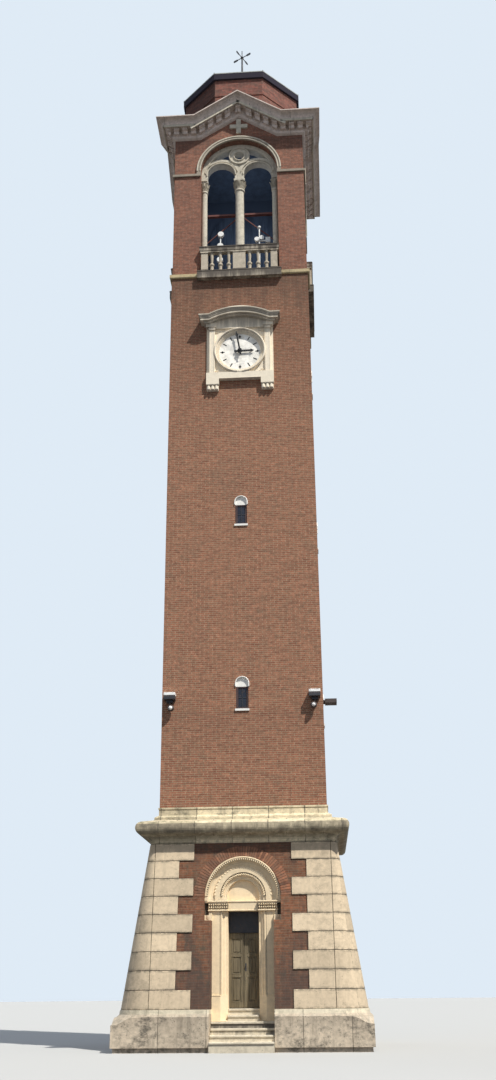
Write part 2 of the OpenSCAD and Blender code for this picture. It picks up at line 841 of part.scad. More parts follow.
module balcony(k) {
    rail_foot = floor_z + rail_z - rail_h;
    gap0 = middle_pedestal_w / 2;
    gap1 = light_x - 65 - pedestal_w;
    spacing = (gap1 - gap0) / baluster_n;
    color(grey_stone) on_side(k) {
        block(-slab_x, slab_x, -slab_y, -room_x, floor_z - slab_h, floor_z);
        block(-light_x, light_x, -rail_y, -rail_y + rail_d, rail_foot + 80, floor_z + rail_z);
        block(-light_x + 20, light_x - 20, -rail_y + 20, -rail_y + rail_d - 20, rail_foot, rail_foot + 80);
        block(-gap0, gap0, -rail_y + 25, -rail_y + rail_d - 25, floor_z, rail_foot);
        for (s = [-1, 1]) {
            px = s < 0 ? -light_x + 65 : light_x - 65 - pedestal_w;
            block(px, px + pedestal_w, -rail_y + 30, -rail_y + rail_d - 30, floor_z, rail_foot);
            for (i = [0:baluster_n - 1])
                translate([s * (gap0 + spacing * (i + 0.5)), -rail_y + rail_d / 2, floor_z])
                    baluster(rail_foot - floor_z);
        }
    }
}

module balcony_front() { balcony(0); }
module balcony_right() { balcony(1); }
module balcony_back() { balcony(2); }
module balcony_left() { balcony(3); }

// Belfry walls with gables
wall_top_z = eaves_z - ceiling_t;
gable_t = drum_set - seat_gap;
rake_cut = cornice_h * tan(gable_pitch / 2);
rake_x = gable_x + rake_cut;
apex_z = eaves_z + rake_x * tan(gable_pitch);

// Outline of a gable above the wall
gable_outline = [[-rake_x, wall_top_z], [-rake_x, eaves_z], [0, apex_z], [rake_x, eaves_z],
                 [rake_x, wall_top_z]];

module belfry_wall(k, half) {
    color(brick) on_side(k) difference() {
        union() {
            block(-half, half, -belfry_x, -room_x, floor_z, wall_top_z);
            along_y(-belfry_x, -belfry_x + gable_t) polygon(gable_outline);
        }
        block(-light_x, light_x, -far, 0, 0, spring_z);
        translate([0, 0, spring_z]) along_y(-far, 0) circle(light_x, $fn = 120);
    }
}

module belfry_front() { belfry_wall(0, belfry_x); }
module belfry_right() { belfry_wall(1, room_x); }
module belfry_back() { belfry_wall(2, belfry_x); }
module belfry_left() { belfry_wall(3, room_x); }

// Tracery with two round arches, an eye and three columns
tracery_y = belfry_x - tracery_set;
impost_z = spring_z - impost_h;

module ring(cx, cz, r_out, r_in, front, back) {
    translate([cx, 0, cz]) along_y(-front, -back) difference() {
        circle(r_out, $fn = 96);
        circle(r_in, $fn = 96);
    }
}

module column(r, top_r) {
    foot = 180;
    translate([0, 0, floor_z]) {
        rotate_extrude($fn = 48) polygon(concat(
            [[0, 0], [r * 1.35, 0], [r * 1.35, 90], [r * 1.2, 110], [r * 1.2, 150], [r, foot],
             [r * 0.94, impost_z - floor_z - capital_h], [r * 1.1, impost_z - floor_z - capital_h + 20],
             [r * 1.1, impost_z - floor_z - capital_h + 50]],
            [for (i = [0:4]) [r + (top_r - r) * pow(i / 4, 2),
                              impost_z - floor_z - capital_h + 50 + (capital_h - 120) * i / 4]],
            [[top_r, impost_z - floor_z - 70], [0, impost_z - floor_z - 70]]));
        translate([-top_r, -top_r, impost_z - floor_z - 70]) cube([2 * top_r, 2 * top_r, 70]);
    }
}

side_column_r = (light_x - bay_x - bay_r) / 2;

module tracery(k) {
    mid = tracery_y - tracery_t / 2;
    color(stone) on_side(k) {
        intersection() {
            difference() {
                union() {
                    ring(0, spring_z, light_x, light_x - big_ring, tracery_y, tracery_y - tracery_t);
                    for (s = [-1, 1]) ring(s * bay_x, spring_z, bay_r + bay_ring, bay_r, tracery_y - 15,
                                           tracery_y - tracery_t + 15);
                    ring(0, spring_z + eye_rise, eye_ring_r, eye_r, tracery_y - 8, tracery_y - tracery_t + 8);
                    block(-bay_x / 2, bay_x / 2, -tracery_y + 30, -tracery_y + tracery_t - 30, spring_z,
                          spring_z + eye_rise);
                }
                for (s = [-1, 1]) translate([s * bay_x, 0, spring_z]) along_y(-far, 0) circle(bay_r, $fn = 96);
                translate([0, 0, spring_z + eye_rise]) along_y(-far, 0) circle(eye_r, $fn = 96);
            }
            translate([0, 0, spring_z]) along_y(-far, 0) intersection() {
                circle(light_x, $fn = 120);
                translate([-light_x, 0]) square([2 * light_x, light_x]);
            }
        }
        for (s = [-1, 1]) {
            x0 = s < 0 ? -light_x : bay_x + bay_r;
            block(x0, x0 + 2 * side_column_r, -tracery_y, -tracery_y + tracery_t, impost_z, spring_z);
            intersection() {
                translate([s * (light_x - side_column_r), -mid, 0]) column(side_column_r * 0.95, side_column_r);
                block(-light_x, light_x, -far, 0, 0, far);
            }
        }
        block(-(bay_x - bay_r), bay_x - bay_r, -tracery_y, -tracery_y + tracery_t, impost_z, spring_z);
        translate([0, -mid, 0]) column(column_r, column_r * 1.25);
    }
}

module tracery_front() { tracery(0); }
module tracery_right() { tracery(1); }
module tracery_back() { tracery(2); }
module tracery_left() { tracery(3); }

// Louvres that close the back and side openings inside the tracery
module light_shape(half, y0, y1, low) {
    block(-half, half, y0, y1, low, spring_z);
    translate([0, 0, spring_z]) along_y(y0, y1) intersection() {
        circle(half, $fn = 120);
        translate([-2 * half, 0]) square([4 * half, 2 * half]);
    }
}

module belfry_louvres() {
    frame = 75;
    inner = -room_x + frame;
    boards = ceil((spring_z + light_x - floor_z) / louvre_pitch);
    color(dark_wood) for (k = [1:3]) on_side(k) {
        difference() {
            light_shape(light_x + 50, -room_x, inner, floor_z);
            light_shape(light_x - 60, -far, 0, 0);
        }
        intersection() {
            light_shape(light_x - 50, -far, 0, floor_z);
            translate([-light_x, 0, floor_z]) rotate([90, 0, 90]) linear_extrude(2 * light_x) polygon(concat(
                [for (i = [0:boards - 1]) for (e = [0, 1]) [-room_x + e * 40, (i + e) * louvre_pitch]],
                [[inner, boards * louvre_pitch], [inner, 0]]));
        }
    }
}

// String course and the mould around the four arches
module belfry_string() {
    top = spring_z - 120;
    out = belfry_x + mould_out;
    color(stone) {
        difference() {
            square_mass([[out, top - string_h], [out, top]]);
            block(-belfry_x, belfry_x, -belfry_x, belfry_x, 0, far);
            for (k = [0:3]) on_side(k) block(-light_x - 1, light_x + 1, -far, 0, 0, far);
        }
        for (k = [0:3]) on_side(k) {
            intersection() {
                ring(0, spring_z, light_x + mould_w, light_x, out, belfry_x);
                block(-far, far, -far, 0, spring_z, far);
            }
            for (s = [0, 1]) mirror([s, 0, 0])
                block(light_x, light_x + mould_w, -out, -belfry_x, top - string_h, spring_z);
        }
    }
}

// Beam and braces seen inside the belfry
beam_y = light_x + 180;

module bell_frame() {
    beam_z = 28600;
    brace = 34;
    beam_h = 76;
    color("#7c3b2e") {
        block(-room_x, room_x, -beam_y, -beam_y + 120, beam_z, beam_z + beam_h);
        intersection() {
            for (s = [-1, 1]) translate([0, -beam_y + 30, beam_z + beam_h / 2]) rotate([0, s * 44, 0])
                translate([s < 0 ? -2 * room_x : 0, 0, -brace]) cube([2 * room_x, brace, brace]);
            block(-room_x, room_x, -far, far, 0, beam_z + beam_h / 2);
        }
    }
}

// Lamps on two poles behind the front balustrade
lamp_y = beam_y + 80;
lamp_heads = [[-740, 2270, 110], [-760, 1750, 110], [-775, 1120, 110], [610, 1970, 90], [790, 2030, 90]];

module belfry_lamps() {
    color("white") translate([0, -lamp_y, floor_z]) {
        for (p = [[-760, 2330], [700, 2580]]) translate([p[0], 0, 0]) {
            cylinder(h = p[1], r = 25, $fn = 24);
            cylinder(h = 20, r = 160, $fn = 32);
        }
        for (p = lamp_heads) translate([p[0], 40, p[1]]) rotate([90, 0, 0])
            cylinder(h = 115, r = p[2], $fn = 32);
        translate([700, 0, 2530]) sphere(r = 70, $fn = 32);
        block(690, 1110, -25, 25, 1890, 1930);
        block(930, 1110, -75, 60, 1800, 2030);
    }
}

// Top cornice: section as distance from the wall and height above the foot
function cornice_section() = concat(
    [[0, 0], [60, 30], [95, 60], [110, 110], [110, cornice_h - 290], [cornice_out - 290, cornice_h - 290],
     [cornice_out - 245, cornice_h - 290], [cornice_out - 245, cornice_h - 235]],
    arc(cornice_out - 30, cornice_h - 240, 205, 175, 100, 5),
    [[cornice_out, cornice_h - 40], [cornice_out, cornice_h], [0, cornice_h]]);

module cornice_bar() {
    translate([-far / 2, 0, 0]) rotate([90, 0, 90]) linear_extrude(far)
        polygon([for (p = cornice_section()) [-belfry_x - p[0], p[1]]]);
}

block_front = belfry_x + cornice_out - 320;

// Section of the console blocks: distance from the wall and height above the foot
function block_section() = [
    [100, cornice_h - 510], [cornice_out - 450, cornice_h - 510], [cornice_out - 425, cornice_h - 410],
    [cornice_out - 320, cornice_h - 385], [cornice_out - 320, cornice_h - 290], [100, cornice_h - 290]];

module block_bar() {
    translate([-far / 2, 0, 0]) rotate([90, 0, 90]) linear_extrude(far)
        polygon([for (p = block_section()) [-belfry_x - p[0], p[1]]]);
}

// Upright slices that cut the bar into blocks
module block_slices() {
    for (s = [-1, 1]) for (i = [0:floor((block_front - 2 * block_w) / block_pitch)]) {
        x = s * (block_front - block_w / 2 - i * block_pitch);
        block(x - block_w / 2, x + block_w / 2, -far, 0, 0, far);
    }
    block(-block_w / 2, block_w / 2, -far, 0, 0, far);
}

// Region left of the mitre between level and raking cornice
function mitre_line(side, z) = side * (gable_x + (z - bed_z) * tan(gable_pitch / 2));

module mitred_side() {
    low = bed_z - wall_t;
    high = bed_z + shaft_w;
    intersection() {
        union() {
            intersection() {
                translate([0, 0, bed_z]) children();
                along_y(-far, 0) {
                    polygon([[-far, low], [mitre_line(-1, low), low], [mitre_line(-1, high), high], [-far, high]]);
                    polygon([[far, low], [mitre_line(1, low), low], [mitre_line(1, high), high], [far, high]]);
                }
            }
            for (s = [0, 1]) mirror([s, 0, 0]) intersection() {
                translate([-gable_x, 0, bed_z]) rotate([0, -gable_pitch, 0]) children();
                along_y(-far, 0) polygon([[mitre_line(-1, low), low], [0, low], [0, high],
                                          [mitre_line(-1, high), high]]);
            }
        }
        translate([0, 0, low]) linear_extrude(high - low) polygon([[0, 0], [-far, -far], [far, -far]]);
    }
}

module top_cornice() {
    color(grey_stone) for (k = [0:3]) on_side(k) {
        mitred_side() cornice_bar();
        intersection() {
            mitred_side() block_bar();
            block_slices();
        }
    }
}

module gable_crosses() {
    half = cross_w / 2;
    z = bed_z + (gable_x - half) * tan(gable_pitch) - cross_arm - cross_gap;
    color(stone) for (k = [0:3]) on_side(k) {
        block(-cross_arm, cross_arm, -belfry_x - cross_t, -belfry_x, z - half, z + half);
        block(-half, half, -belfry_x - cross_t, -belfry_x, z - cross_arm, z + cross_arm);
    }
}

// Roof over the belfry, around the drum
module octagon(w, z0, z1) {
    translate([0, 0, z0]) rotate([0, 0, 22.5]) cylinder(h = z1 - z0, r = w / 2 / cos(22.5), $fn = 8);
}

module belfry_roof() {
    inner = belfry_x - gable_t - seat_gap;
    color(lead) difference() {
        union() {
            block(-belfry_x, belfry_x, -belfry_x, belfry_x, wall_top_z, eaves_z);
            for (k = [0:3]) on_side(k)
                along_y(-inner, -inner / 2) polygon([[-rake_x, eaves_z], [0, apex_z], [rake_x, eaves_z]]);
        }
        for (k = [0:3]) on_side(k) block(-rake_x - seat_gap, rake_x + seat_gap, -far, -inner, 0, far);
        octagon(drum_w, eaves_z, far * 2);
    }
}

module drum() {
    color(brick) difference() {
        union() {
            octagon(drum_w, eaves_z, eaves_z + drum_h);
            octagon(drum_w + 60, eaves_z + 1650, eaves_z + 1730);
        }
        octagon(drum_w - 2 * drum_t, 0, far * 2);
    }
}

finial_foot_r = 120;
finial_z = eaves_z + drum_h + eave_h + (drum_w / 2 + eave_out - finial_foot_r) * tan(roof_pitch);

// Eight slopes that meet over the middle, on an upright edge
module eight_slopes(half, z0, edge) {
    peak = z0 + edge + half * tan(roof_pitch);
    intersection_for(k = [0:3]) rotate([0, 0, 45 * k]) along_y(-far, far)
        polygon([[-half, z0], [half, z0], [half, z0 + edge], [0, peak], [-half, z0 + edge]]);
}

module drum_roof() {
    z0 = eaves_z + drum_h;
    half = drum_w / 2 + eave_out;
    hollow = drum_w / 2 - drum_t;
    color(lead) difference() {
        eight_slopes(half, z0, eave_h);
        eight_slopes(hollow, z0 - 1, eave_h + (half - hollow) * tan(roof_pitch) - 150);
        block(-far, far, -far, far, finial_z, finial_z + far);
    }
}

module finial() {
    hub = finial_h - 380;
    vane = 220;
    color(iron) translate([0, 0, finial_z]) {
        cylinder(h = 260, r1 = finial_foot_r, r2 = finial_foot_r / 2, $fn = 48);
        cylinder(h = hub, r1 = 55, r2 = 32, $fn = 24);
        cylinder(h = finial_h, r = 18, $fn = 24);
        translate([0, 0, hub]) sphere(r = 65, $fn = 32);
        translate([0, 0, hub]) rotate([0, 0, -30]) for (k = [0:3]) rotate([0, 0, 90 * k]) {
            rotate([0, 90, 0]) cylinder(h = finial_arm - vane + 40, r = 16, $fn = 24);
            translate([finial_arm - vane, 0, 0]) rotate([90, 0, 0]) translate([0, 0, -9]) linear_extrude(18)
                polygon([[0, -20], [50, -48], [vane - 30, -52], [vane, -24], [vane, 24], [vane - 30, 52],
                         [50, 48], [0, 20]]);
        }
    }
}

plinth_front_left();
plinth_front_right();
plinth_left();
plinth_right();
plinth_back();
plinth_cap();
base_wall_front_left();
base_wall_front_right();
base_wall_over_door();
base_wall_left();
base_wall_right();
base_wall_back();
quoin_corners();
entrance_steps();
portal_jamb_left();
portal_jamb_right();
portal_tympanum();
portal_arch();
door_frame();
door_leaf_left();
door_leaf_right();
ground_floor();
base_cornice();
shaft_front();
shaft_back();
shaft_left();
shaft_right();
window_stones();
clock_case();
clock_dial();
clock_hour_hand();
clock_minute_hand();
shaft_floodlights();
belfry_ledge();
belfry_floor();
belfry_front();
belfry_back();
belfry_left();
belfry_right();
tracery_front();
tracery_back();
tracery_left();
tracery_right();
balcony_front();
balcony_back();
balcony_left();
balcony_right();
belfry_string();
bell_frame();
belfry_lamps();
belfry_louvres();
top_cornice();
gable_crosses();
belfry_roof();
drum();
drum_roof();
finial();
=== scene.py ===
"""Bell tower of brick and limestone: finishes, mouldings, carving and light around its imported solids.

All lengths are metres in the part's own frame: +Z is up and the entrance front faces -Y.
"""
import logging
import math
from dataclasses import dataclass, field
from enum import Enum
from typing import Callable, Iterable, Sequence

import bmesh
import bpy
from mathutils import Matrix, Vector


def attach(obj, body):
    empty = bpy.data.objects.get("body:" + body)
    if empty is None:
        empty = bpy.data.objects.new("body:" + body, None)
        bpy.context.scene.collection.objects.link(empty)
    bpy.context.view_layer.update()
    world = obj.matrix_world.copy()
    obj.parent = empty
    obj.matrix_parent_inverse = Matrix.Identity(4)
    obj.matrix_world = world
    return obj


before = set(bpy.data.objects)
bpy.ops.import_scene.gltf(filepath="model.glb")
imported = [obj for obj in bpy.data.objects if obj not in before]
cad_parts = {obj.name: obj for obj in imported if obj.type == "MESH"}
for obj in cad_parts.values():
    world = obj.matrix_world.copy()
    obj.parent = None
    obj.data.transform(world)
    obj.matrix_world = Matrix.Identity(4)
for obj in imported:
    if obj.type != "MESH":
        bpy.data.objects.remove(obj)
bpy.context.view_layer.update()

LOG = logging.getLogger("bell_tower")
Socket = bpy.types.NodeSocket
Colour = tuple[float, float, float]
Point = tuple[float, float]
Point3 = tuple[float, float, float]
SIDE_TURNS = (0, 1, 2, 3)


class Slot(Enum):
    """Material slots of the record."""

    BRICK = "brick"
    STONE = "stone"
    GREY_STONE = "weathered_stone"
    WOOD = "door_wood"
    IRON = "iron"
    ROOF = "roof_metal"
    HAND = "hand_metal"
    LAMP = "lamp_housing"


class Body(Enum):
    """Bodies of the record that the new pieces ride on."""

    TOWER = "tower"
    LEFT_LEAF = "left_door_leaf"
    RIGHT_LEAF = "right_door_leaf"


def solid_box(name: str) -> tuple[Vector, Vector]:
    """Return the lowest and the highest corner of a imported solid."""
    points = [vert.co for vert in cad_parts[name].data.vertices]
    low, high = ([pick(point[i] for point in points) for i in range(3)] for pick in (min, max))
    return Vector(low), Vector(high)


# Sizes that several pieces share
ARCH_Z = 3.95
ARCH_BRICKS = 54
SHAFT_Y = solid_box("shaft_front")[0].y
WINDOW_SILL = 0.065
FULL_TURN = math.radians(359.9)

# Rows of a carved leaf, from its foot to its tip: height, width and lean, each as a share
LEAF_ROWS = ((0.0, 0.72, 0.10), (0.35, 1.0, 0.25), (0.7, 0.82, 0.62), (0.95, 0.5, 1.0), (0.86, 0.2, 1.18))


# Shader sheets


class NodeSheet:
    """Places and joins the nodes of one node tree."""

    def __init__(self, tree: bpy.types.NodeTree) -> None:
        """Keep the tree to work on.

        Args:
            tree: Node tree of a material or a node group.
        """
        self.tree = tree

    def put(self, kind: str, inputs: dict | None = None, **settings: object) -> bpy.types.Node:
        """Add a node.

        Args:
            kind: Blender's name of the node type.
            inputs: Sockets or constants for the node's inputs, by name or number.
            **settings: Properties of the node.

        Returns:
            The new node.
        """
        node = self.tree.nodes.new(kind)
        for name, value in settings.items():
            setattr(node, name, value)
        for name, value in (inputs or {}).items():
            socket = node.inputs[name]
            if isinstance(value, Socket):
                self.tree.links.new(value, socket)
            elif socket.type == "RGBA" and len(value) == 3:
                socket.default_value = (*value, 1.0)
            else:
                socket.default_value = value
        return node

    def maths(self, operation: str, *values: object, clamp: bool = False) -> Socket:
        """Return the result of one Math node on up to three sockets or numbers."""
        node = self.put("ShaderNodeMath", dict(enumerate(values)), operation=operation, use_clamp=clamp)
        return node.outputs[0]

    def blend(self, factor: object, first: object, second: object, how: str = "MIX") -> Socket:
        """Return two colours mixed by a factor, as a colour socket."""
        node = self.put("ShaderNodeMix", {0: factor, 6: first, 7: second}, data_type="RGBA", blend_type=how)
        return node.outputs[2]

    def fade(self, value: Socket, low: float, high: float, start: float = 0.0, end: float = 1.0) -> Socket:
        """Return a value that goes smoothly from start to end as the input goes from low to high."""
        node = self.put("ShaderNodeMapRange", {"Value": value, "From Min": low, "From Max": high,
                                               "To Min": start, "To Max": end},
                        interpolation_type="SMOOTHSTEP")
        return node.outputs[0]

    def noise(self, vector: Socket, scale: float, detail: float = 4.0, rough: float = 0.6) -> Socket:
        """Return the value of a noise texture."""
        node = self.put("ShaderNodeTexNoise", {"Vector": vector, "Scale": scale, "Detail": detail,
                                               "Roughness": rough})
        return node.outputs[0]

    def stretched(self, vector: Socket, scale: Point3) -> Socket:
        """Return a coordinate with its axes scaled one by one."""
        return self.put("ShaderNodeVectorMath", {0: vector, 1: scale}, operation="MULTIPLY").outputs[0]

    def shaded(self, colour: object, tone: Socket) -> Socket:
        """Return a colour made lighter or darker by a factor."""
        grey = self.put("ShaderNodeCombineXYZ", {0: tone, 1: tone, 2: tone}).outputs[0]
        return self.blend(1.0, colour, grey, "MULTIPLY")

    def place(self) -> Socket:
        """Return the coordinate of the part's own frame."""
        return self.put("ShaderNodeTexCoord").outputs["Object"]


@dataclass(frozen=True)
class WallMap:
    """Coordinates on a wall: along the course, up the wall, and how far the face looks up."""

    place: Socket
    flat: Socket
    height: Socket
    up: Socket

    @staticmethod
    def on(sheet: NodeSheet) -> "WallMap":
        """Add the nodes that map any upright face to courses.

        Args:
            sheet: Sheet to add them to.

        Returns:
            The coordinates' sockets.
        """
        place = sheet.place()
        facing = sheet.put("ShaderNodeNewGeometry").outputs["Normal"]
        along = sheet.put("ShaderNodeVectorMath", {0: (0.0, 0.0, 1.0), 1: facing}, operation="CROSS_PRODUCT")
        unit = sheet.put("ShaderNodeVectorMath", {0: along.outputs[0]}, operation="NORMALIZE")
        reach = sheet.put("ShaderNodeVectorMath", {0: place, 1: unit.outputs[0]}, operation="DOT_PRODUCT")
        xyz = sheet.put("ShaderNodeSeparateXYZ", {0: place})
        up = sheet.put("ShaderNodeSeparateXYZ", {0: facing}).outputs[2]
        lying = sheet.maths("GREATER_THAN", sheet.maths("ABSOLUTE", up), 0.9)
        upright = sheet.put("ShaderNodeCombineXYZ", {0: reach.outputs["Value"], 1: xyz.outputs[2]})
        chosen = sheet.put("ShaderNodeMix", {0: lying, 4: upright.outputs[0], 5: place}, data_type="VECTOR")
        return WallMap(place, chosen.outputs[1], xyz.outputs[2], up)


def new_group(name: str, inputs: dict[str, object],
              outputs: dict[str, str]) -> tuple[NodeSheet, bpy.types.Node, bpy.types.Node]:
    """Make an empty shader node group.

    Args:
        name: Name of the group.
        inputs: Default value of each input; three numbers make a colour.
        outputs: Socket type of each output.

    Returns:
        The group's sheet, its input node and its output node.
    """
    tree = bpy.data.node_groups.new(name, "ShaderNodeTree")
    for title, value in inputs.items():
        colour = isinstance(value, tuple)
        kind = "NodeSocketColor" if colour else "NodeSocketFloat"
        socket = tree.interface.new_socket(name=title, in_out="INPUT", socket_type=kind)
        socket.default_value = (*value, 1.0) if colour else value
    for title, kind in outputs.items():
        tree.interface.new_socket(name=title, in_out="OUTPUT", socket_type=kind)
    sheet = NodeSheet(tree)
    return sheet, sheet.put("NodeGroupInput"), sheet.put("NodeGroupOutput")


def courses_group() -> bpy.types.NodeTree:
    """Make the group that lays bricks or blocks in courses.

    Returns:
        Group that puts out the laid colour, the height over the joints and a mask of the joints' edges.
    """
    sheet, given, out = new_group(
        "courses",
        {"Light Tone": (0.3, 0.13, 0.08), "Dark Tone": (0.25, 0.1, 0.06), "Joint Tone": (0.4, 0.3, 0.2),
         "Length": 0.26, "Rise": 0.065, "Joint": 0.006, "Shift": 0.0, "Lift": 0.0, "Bleed": 0.02},
        {"Color": "NodeSocketColor", "Height": "NodeSocketFloat", "Edge": "NodeSocketFloat"})
    wall = WallMap.on(sheet)
    shift = sheet.put("ShaderNodeCombineXYZ", {0: given.outputs["Shift"], 1: given.outputs["Lift"]})
    moved = sheet.put("ShaderNodeVectorMath", {0: wall.flat, 1: shift.outputs[0]}, operation="ADD")
    common = {"Vector": moved.outputs[0], "Scale": 1.0, "Bias": 0.0, "Brick Width": given.outputs["Length"],
              "Row Height": given.outputs["Rise"]}
    laid = sheet.put("ShaderNodeTexBrick", {
        **common, "Color1": given.outputs["Light Tone"], "Color2": given.outputs["Dark Tone"],
        "Mortar": given.outputs["Joint Tone"], "Mortar Size": given.outputs["Joint"], "Mortar Smooth": 0.2})
    soft = sheet.put("ShaderNodeTexBrick", {
        **common, "Mortar Size": sheet.maths("ADD", given.outputs["Joint"], given.outputs["Bleed"]),
        "Mortar Smooth": 1.0})
    sheet.tree.links.new(laid.outputs["Color"], out.inputs["Color"])
    sheet.tree.links.new(sheet.maths("SUBTRACT", 1.0, laid.outputs["Fac"]), out.inputs["Height"])
    sheet.tree.links.new(soft.outputs["Fac"], out.inputs["Edge"])
    return sheet.tree


def weather_group() -> bpy.types.NodeTree:
    """Make the group that ages a surface with blotches, streaks, dark undersides, lichen and pits.

    Returns:
        Group that puts out the aged colour and the height of the grain.
    """
    sheet, given, out = new_group(
        "weather",
        {"Color": (0.6, 0.5, 0.4), "Dirt Tone": (0.1, 0.09, 0.08), "Lichen Tone": (0.3, 0.27, 0.1),
         "Mottle": 0.2, "Blotches": 0.3, "Streaks": 0.2, "Underside": 0.3, "Lichen": 0.2, "Pits": 0.3,
         "Pit Size": 1.0, "Edge": 0.0, "Edge Dirt": 0.0},
        {"Color": "NodeSocketColor", "Height": "NodeSocketFloat"})
    wall = WallMap.on(sheet)
    fine = sheet.noise(wall.place, 9.0, 6.0, 0.7)
    broad = sheet.noise(wall.place, 0.9, 5.0, 0.65)
    spots = sheet.noise(sheet.stretched(wall.place, (1.0, 1.0, 1.5)), 5.0, 5.0, 0.75)
    runs = sheet.noise(sheet.stretched(wall.place, (5.0, 5.0, 0.35)), 1.0, 5.0, 0.7)
    grain = sheet.put("ShaderNodeTexVoronoi", {"Vector": wall.place, "Scale": sheet.maths(
        "DIVIDE", 26.0, given.outputs["Pit Size"])}).outputs["Distance"]

    light = sheet.fade(fine, 0.3, 0.7, -0.5, 0.5)
    swing = sheet.maths("MULTIPLY_ADD", light, given.outputs["Mottle"], 1.0)
    toned = sheet.shaded(given.outputs["Color"], swing)

    blotch = sheet.maths("MULTIPLY", sheet.fade(sheet.maths("MULTIPLY", broad, spots), 0.22, 0.4),
                         given.outputs["Blotches"])
    streak = sheet.maths("MULTIPLY", sheet.fade(runs, 0.5, 0.72), given.outputs["Streaks"])
    below = sheet.maths("MULTIPLY", sheet.maths("MULTIPLY", sheet.fade(wall.up, -0.05, -0.75),
                                                sheet.fade(spots, 0.25, 0.6, 0.4, 1.0)),
                        given.outputs["Underside"])
    hole = sheet.maths("MULTIPLY", sheet.fade(grain, 0.28, 0.1), sheet.fade(spots, 0.48, 0.62))
    pit = sheet.maths("MULTIPLY", hole, given.outputs["Pits"])
    rim = sheet.maths("MULTIPLY", sheet.maths("MULTIPLY", given.outputs["Edge"], given.outputs["Edge Dirt"]),
                      sheet.fade(spots, 0.38, 0.58))
    dirt = sheet.maths("MAXIMUM", sheet.maths("MAXIMUM", sheet.maths("MAXIMUM", blotch, streak), rim),
                       sheet.maths("MAXIMUM", below, pit), clamp=True)
    soiled = sheet.blend(dirt, toned, given.outputs["Dirt Tone"])

    crust = sheet.maths("MULTIPLY", sheet.fade(spots, 0.42, 0.6), sheet.fade(wall.up, 0.2, 0.75, 0.25, 1.0))
    grown = sheet.blend(sheet.maths("MULTIPLY", crust, given.outputs["Lichen"]), soiled,
                        given.outputs["Lichen Tone"])
    relief = sheet.maths("SUBTRACT", sheet.maths("MULTIPLY", fine, 0.6), sheet.maths("MULTIPLY", hole, 0.8))
    sheet.tree.links.new(grown, out.inputs["Color"])
    sheet.tree.links.new(relief, out.inputs["Height"])
    return sheet.tree


def soot_group() -> bpy.types.NodeTree:
    """Make the group that darkens a wall from a height on, in runs: downward, or upward if Depth is negative.

    Returns:
        Group that puts out the darkened colour.
    """
    sheet, given, out = new_group(
        "soot", {"Color": (0.3, 0.15, 0.1), "Soot Tone": (0.06, 0.05, 0.045), "Top": 5.4, "Depth": 1.0,
                 "Amount": 0.5},
        {"Color": "NodeSocketColor"})
    wall = WallMap.on(sheet)
    runs = sheet.noise(sheet.stretched(wall.place, (3.4, 3.4, 0.25)), 1.0, 5.0, 0.7)
    below = sheet.maths("DIVIDE", sheet.maths("SUBTRACT", given.outputs["Top"], wall.height),
                        given.outputs["Depth"])
    ragged = sheet.maths("ADD", below, sheet.fade(runs, 0.3, 0.7, 0.35, -0.45))
    inside = sheet.maths("MULTIPLY", sheet.fade(ragged, 1.0, 0.15), sheet.maths("GREATER_THAN", below, -0.02))
    share = sheet.maths("MULTIPLY", inside, given.outputs["Amount"], clamp=True)
    sheet.tree.links.new(sheet.blend(share, given.outputs["Color"], given.outputs["Soot Tone"]),
                         out.inputs["Color"])
    return sheet.tree


class Groups:
    """Builds each shared group once."""

    made: dict[str, bpy.types.NodeTree] = {}
    makers: dict[str, Callable[[], bpy.types.NodeTree]] = {
        "courses": courses_group, "weather": weather_group, "soot": soot_group}

    @classmethod
    def put(cls, sheet: NodeSheet, name: str, inputs: dict[str, object]) -> bpy.types.Node:
        """Place a shared group in a material.

        Args:
            sheet: Sheet of the material.
            name: Name of the group.
            inputs: Values or sockets for its inputs.

        Returns:
            The group's node.
        """
        if name not in cls.made:
            cls.made[name] = cls.makers[name]()
        node = sheet.tree.nodes.new("ShaderNodeGroup")
        node.node_tree = cls.made[name]
        for title, value in inputs.items():
            socket = node.inputs[title]
            if isinstance(value, Socket):
                sheet.tree.links.new(value, socket)
            else:
                socket.default_value = (*value, 1.0) if isinstance(value, tuple) else value
        return node


# Finishes


@dataclass(frozen=True)
class Finish:
    """What every finish has: a name, a plain roughness and how strong its shine and relief are."""

    name: str
    rough: float = 0.85
    shine: float = 0.25
    relief: float = 0.5
    relief_depth: float = 0.004

    def start(self) -> tuple[bpy.types.Material, NodeSheet, bpy.types.Node]:
        """Start the material.

        Returns:
            The new material, its sheet and its Principled shader.
        """
        material = bpy.data.materials.new(self.name)
        material.use_nodes = True
        shader = material.node_tree.nodes["Principled BSDF"]
        shader.inputs["Roughness"].default_value = self.rough
        shader.inputs["Specular IOR Level"].default_value = self.shine
        return material, NodeSheet(material.node_tree), shader

    def emboss(self, sheet: NodeSheet, shader: bpy.types.Node, height: Socket) -> None:
        """Feed a height through a Bump node to the shader's normal."""
        bump = sheet.put("ShaderNodeBump", {"Height": height, "Strength": self.relief,
                                            "Distance": self.relief_depth})
        sheet.tree.links.new(bump.outputs[0], shader.inputs["Normal"])


@dataclass(frozen=True)
class Wall(Finish):
    """A finish laid in courses, with bands of soot given as height, depth and amount."""

    soot: tuple[Point3, ...] = ()

    def sooted(self, sheet: NodeSheet, colour: Socket) -> Socket:
        """Return a colour with the wall's bands of soot on it."""
        for top, depth, amount in self.soot:
            band = Groups.put(sheet, "soot", {"Color": colour, "Top": top, "Depth": depth, "Amount": amount})
            colour = band.outputs["Color"]
        return colour


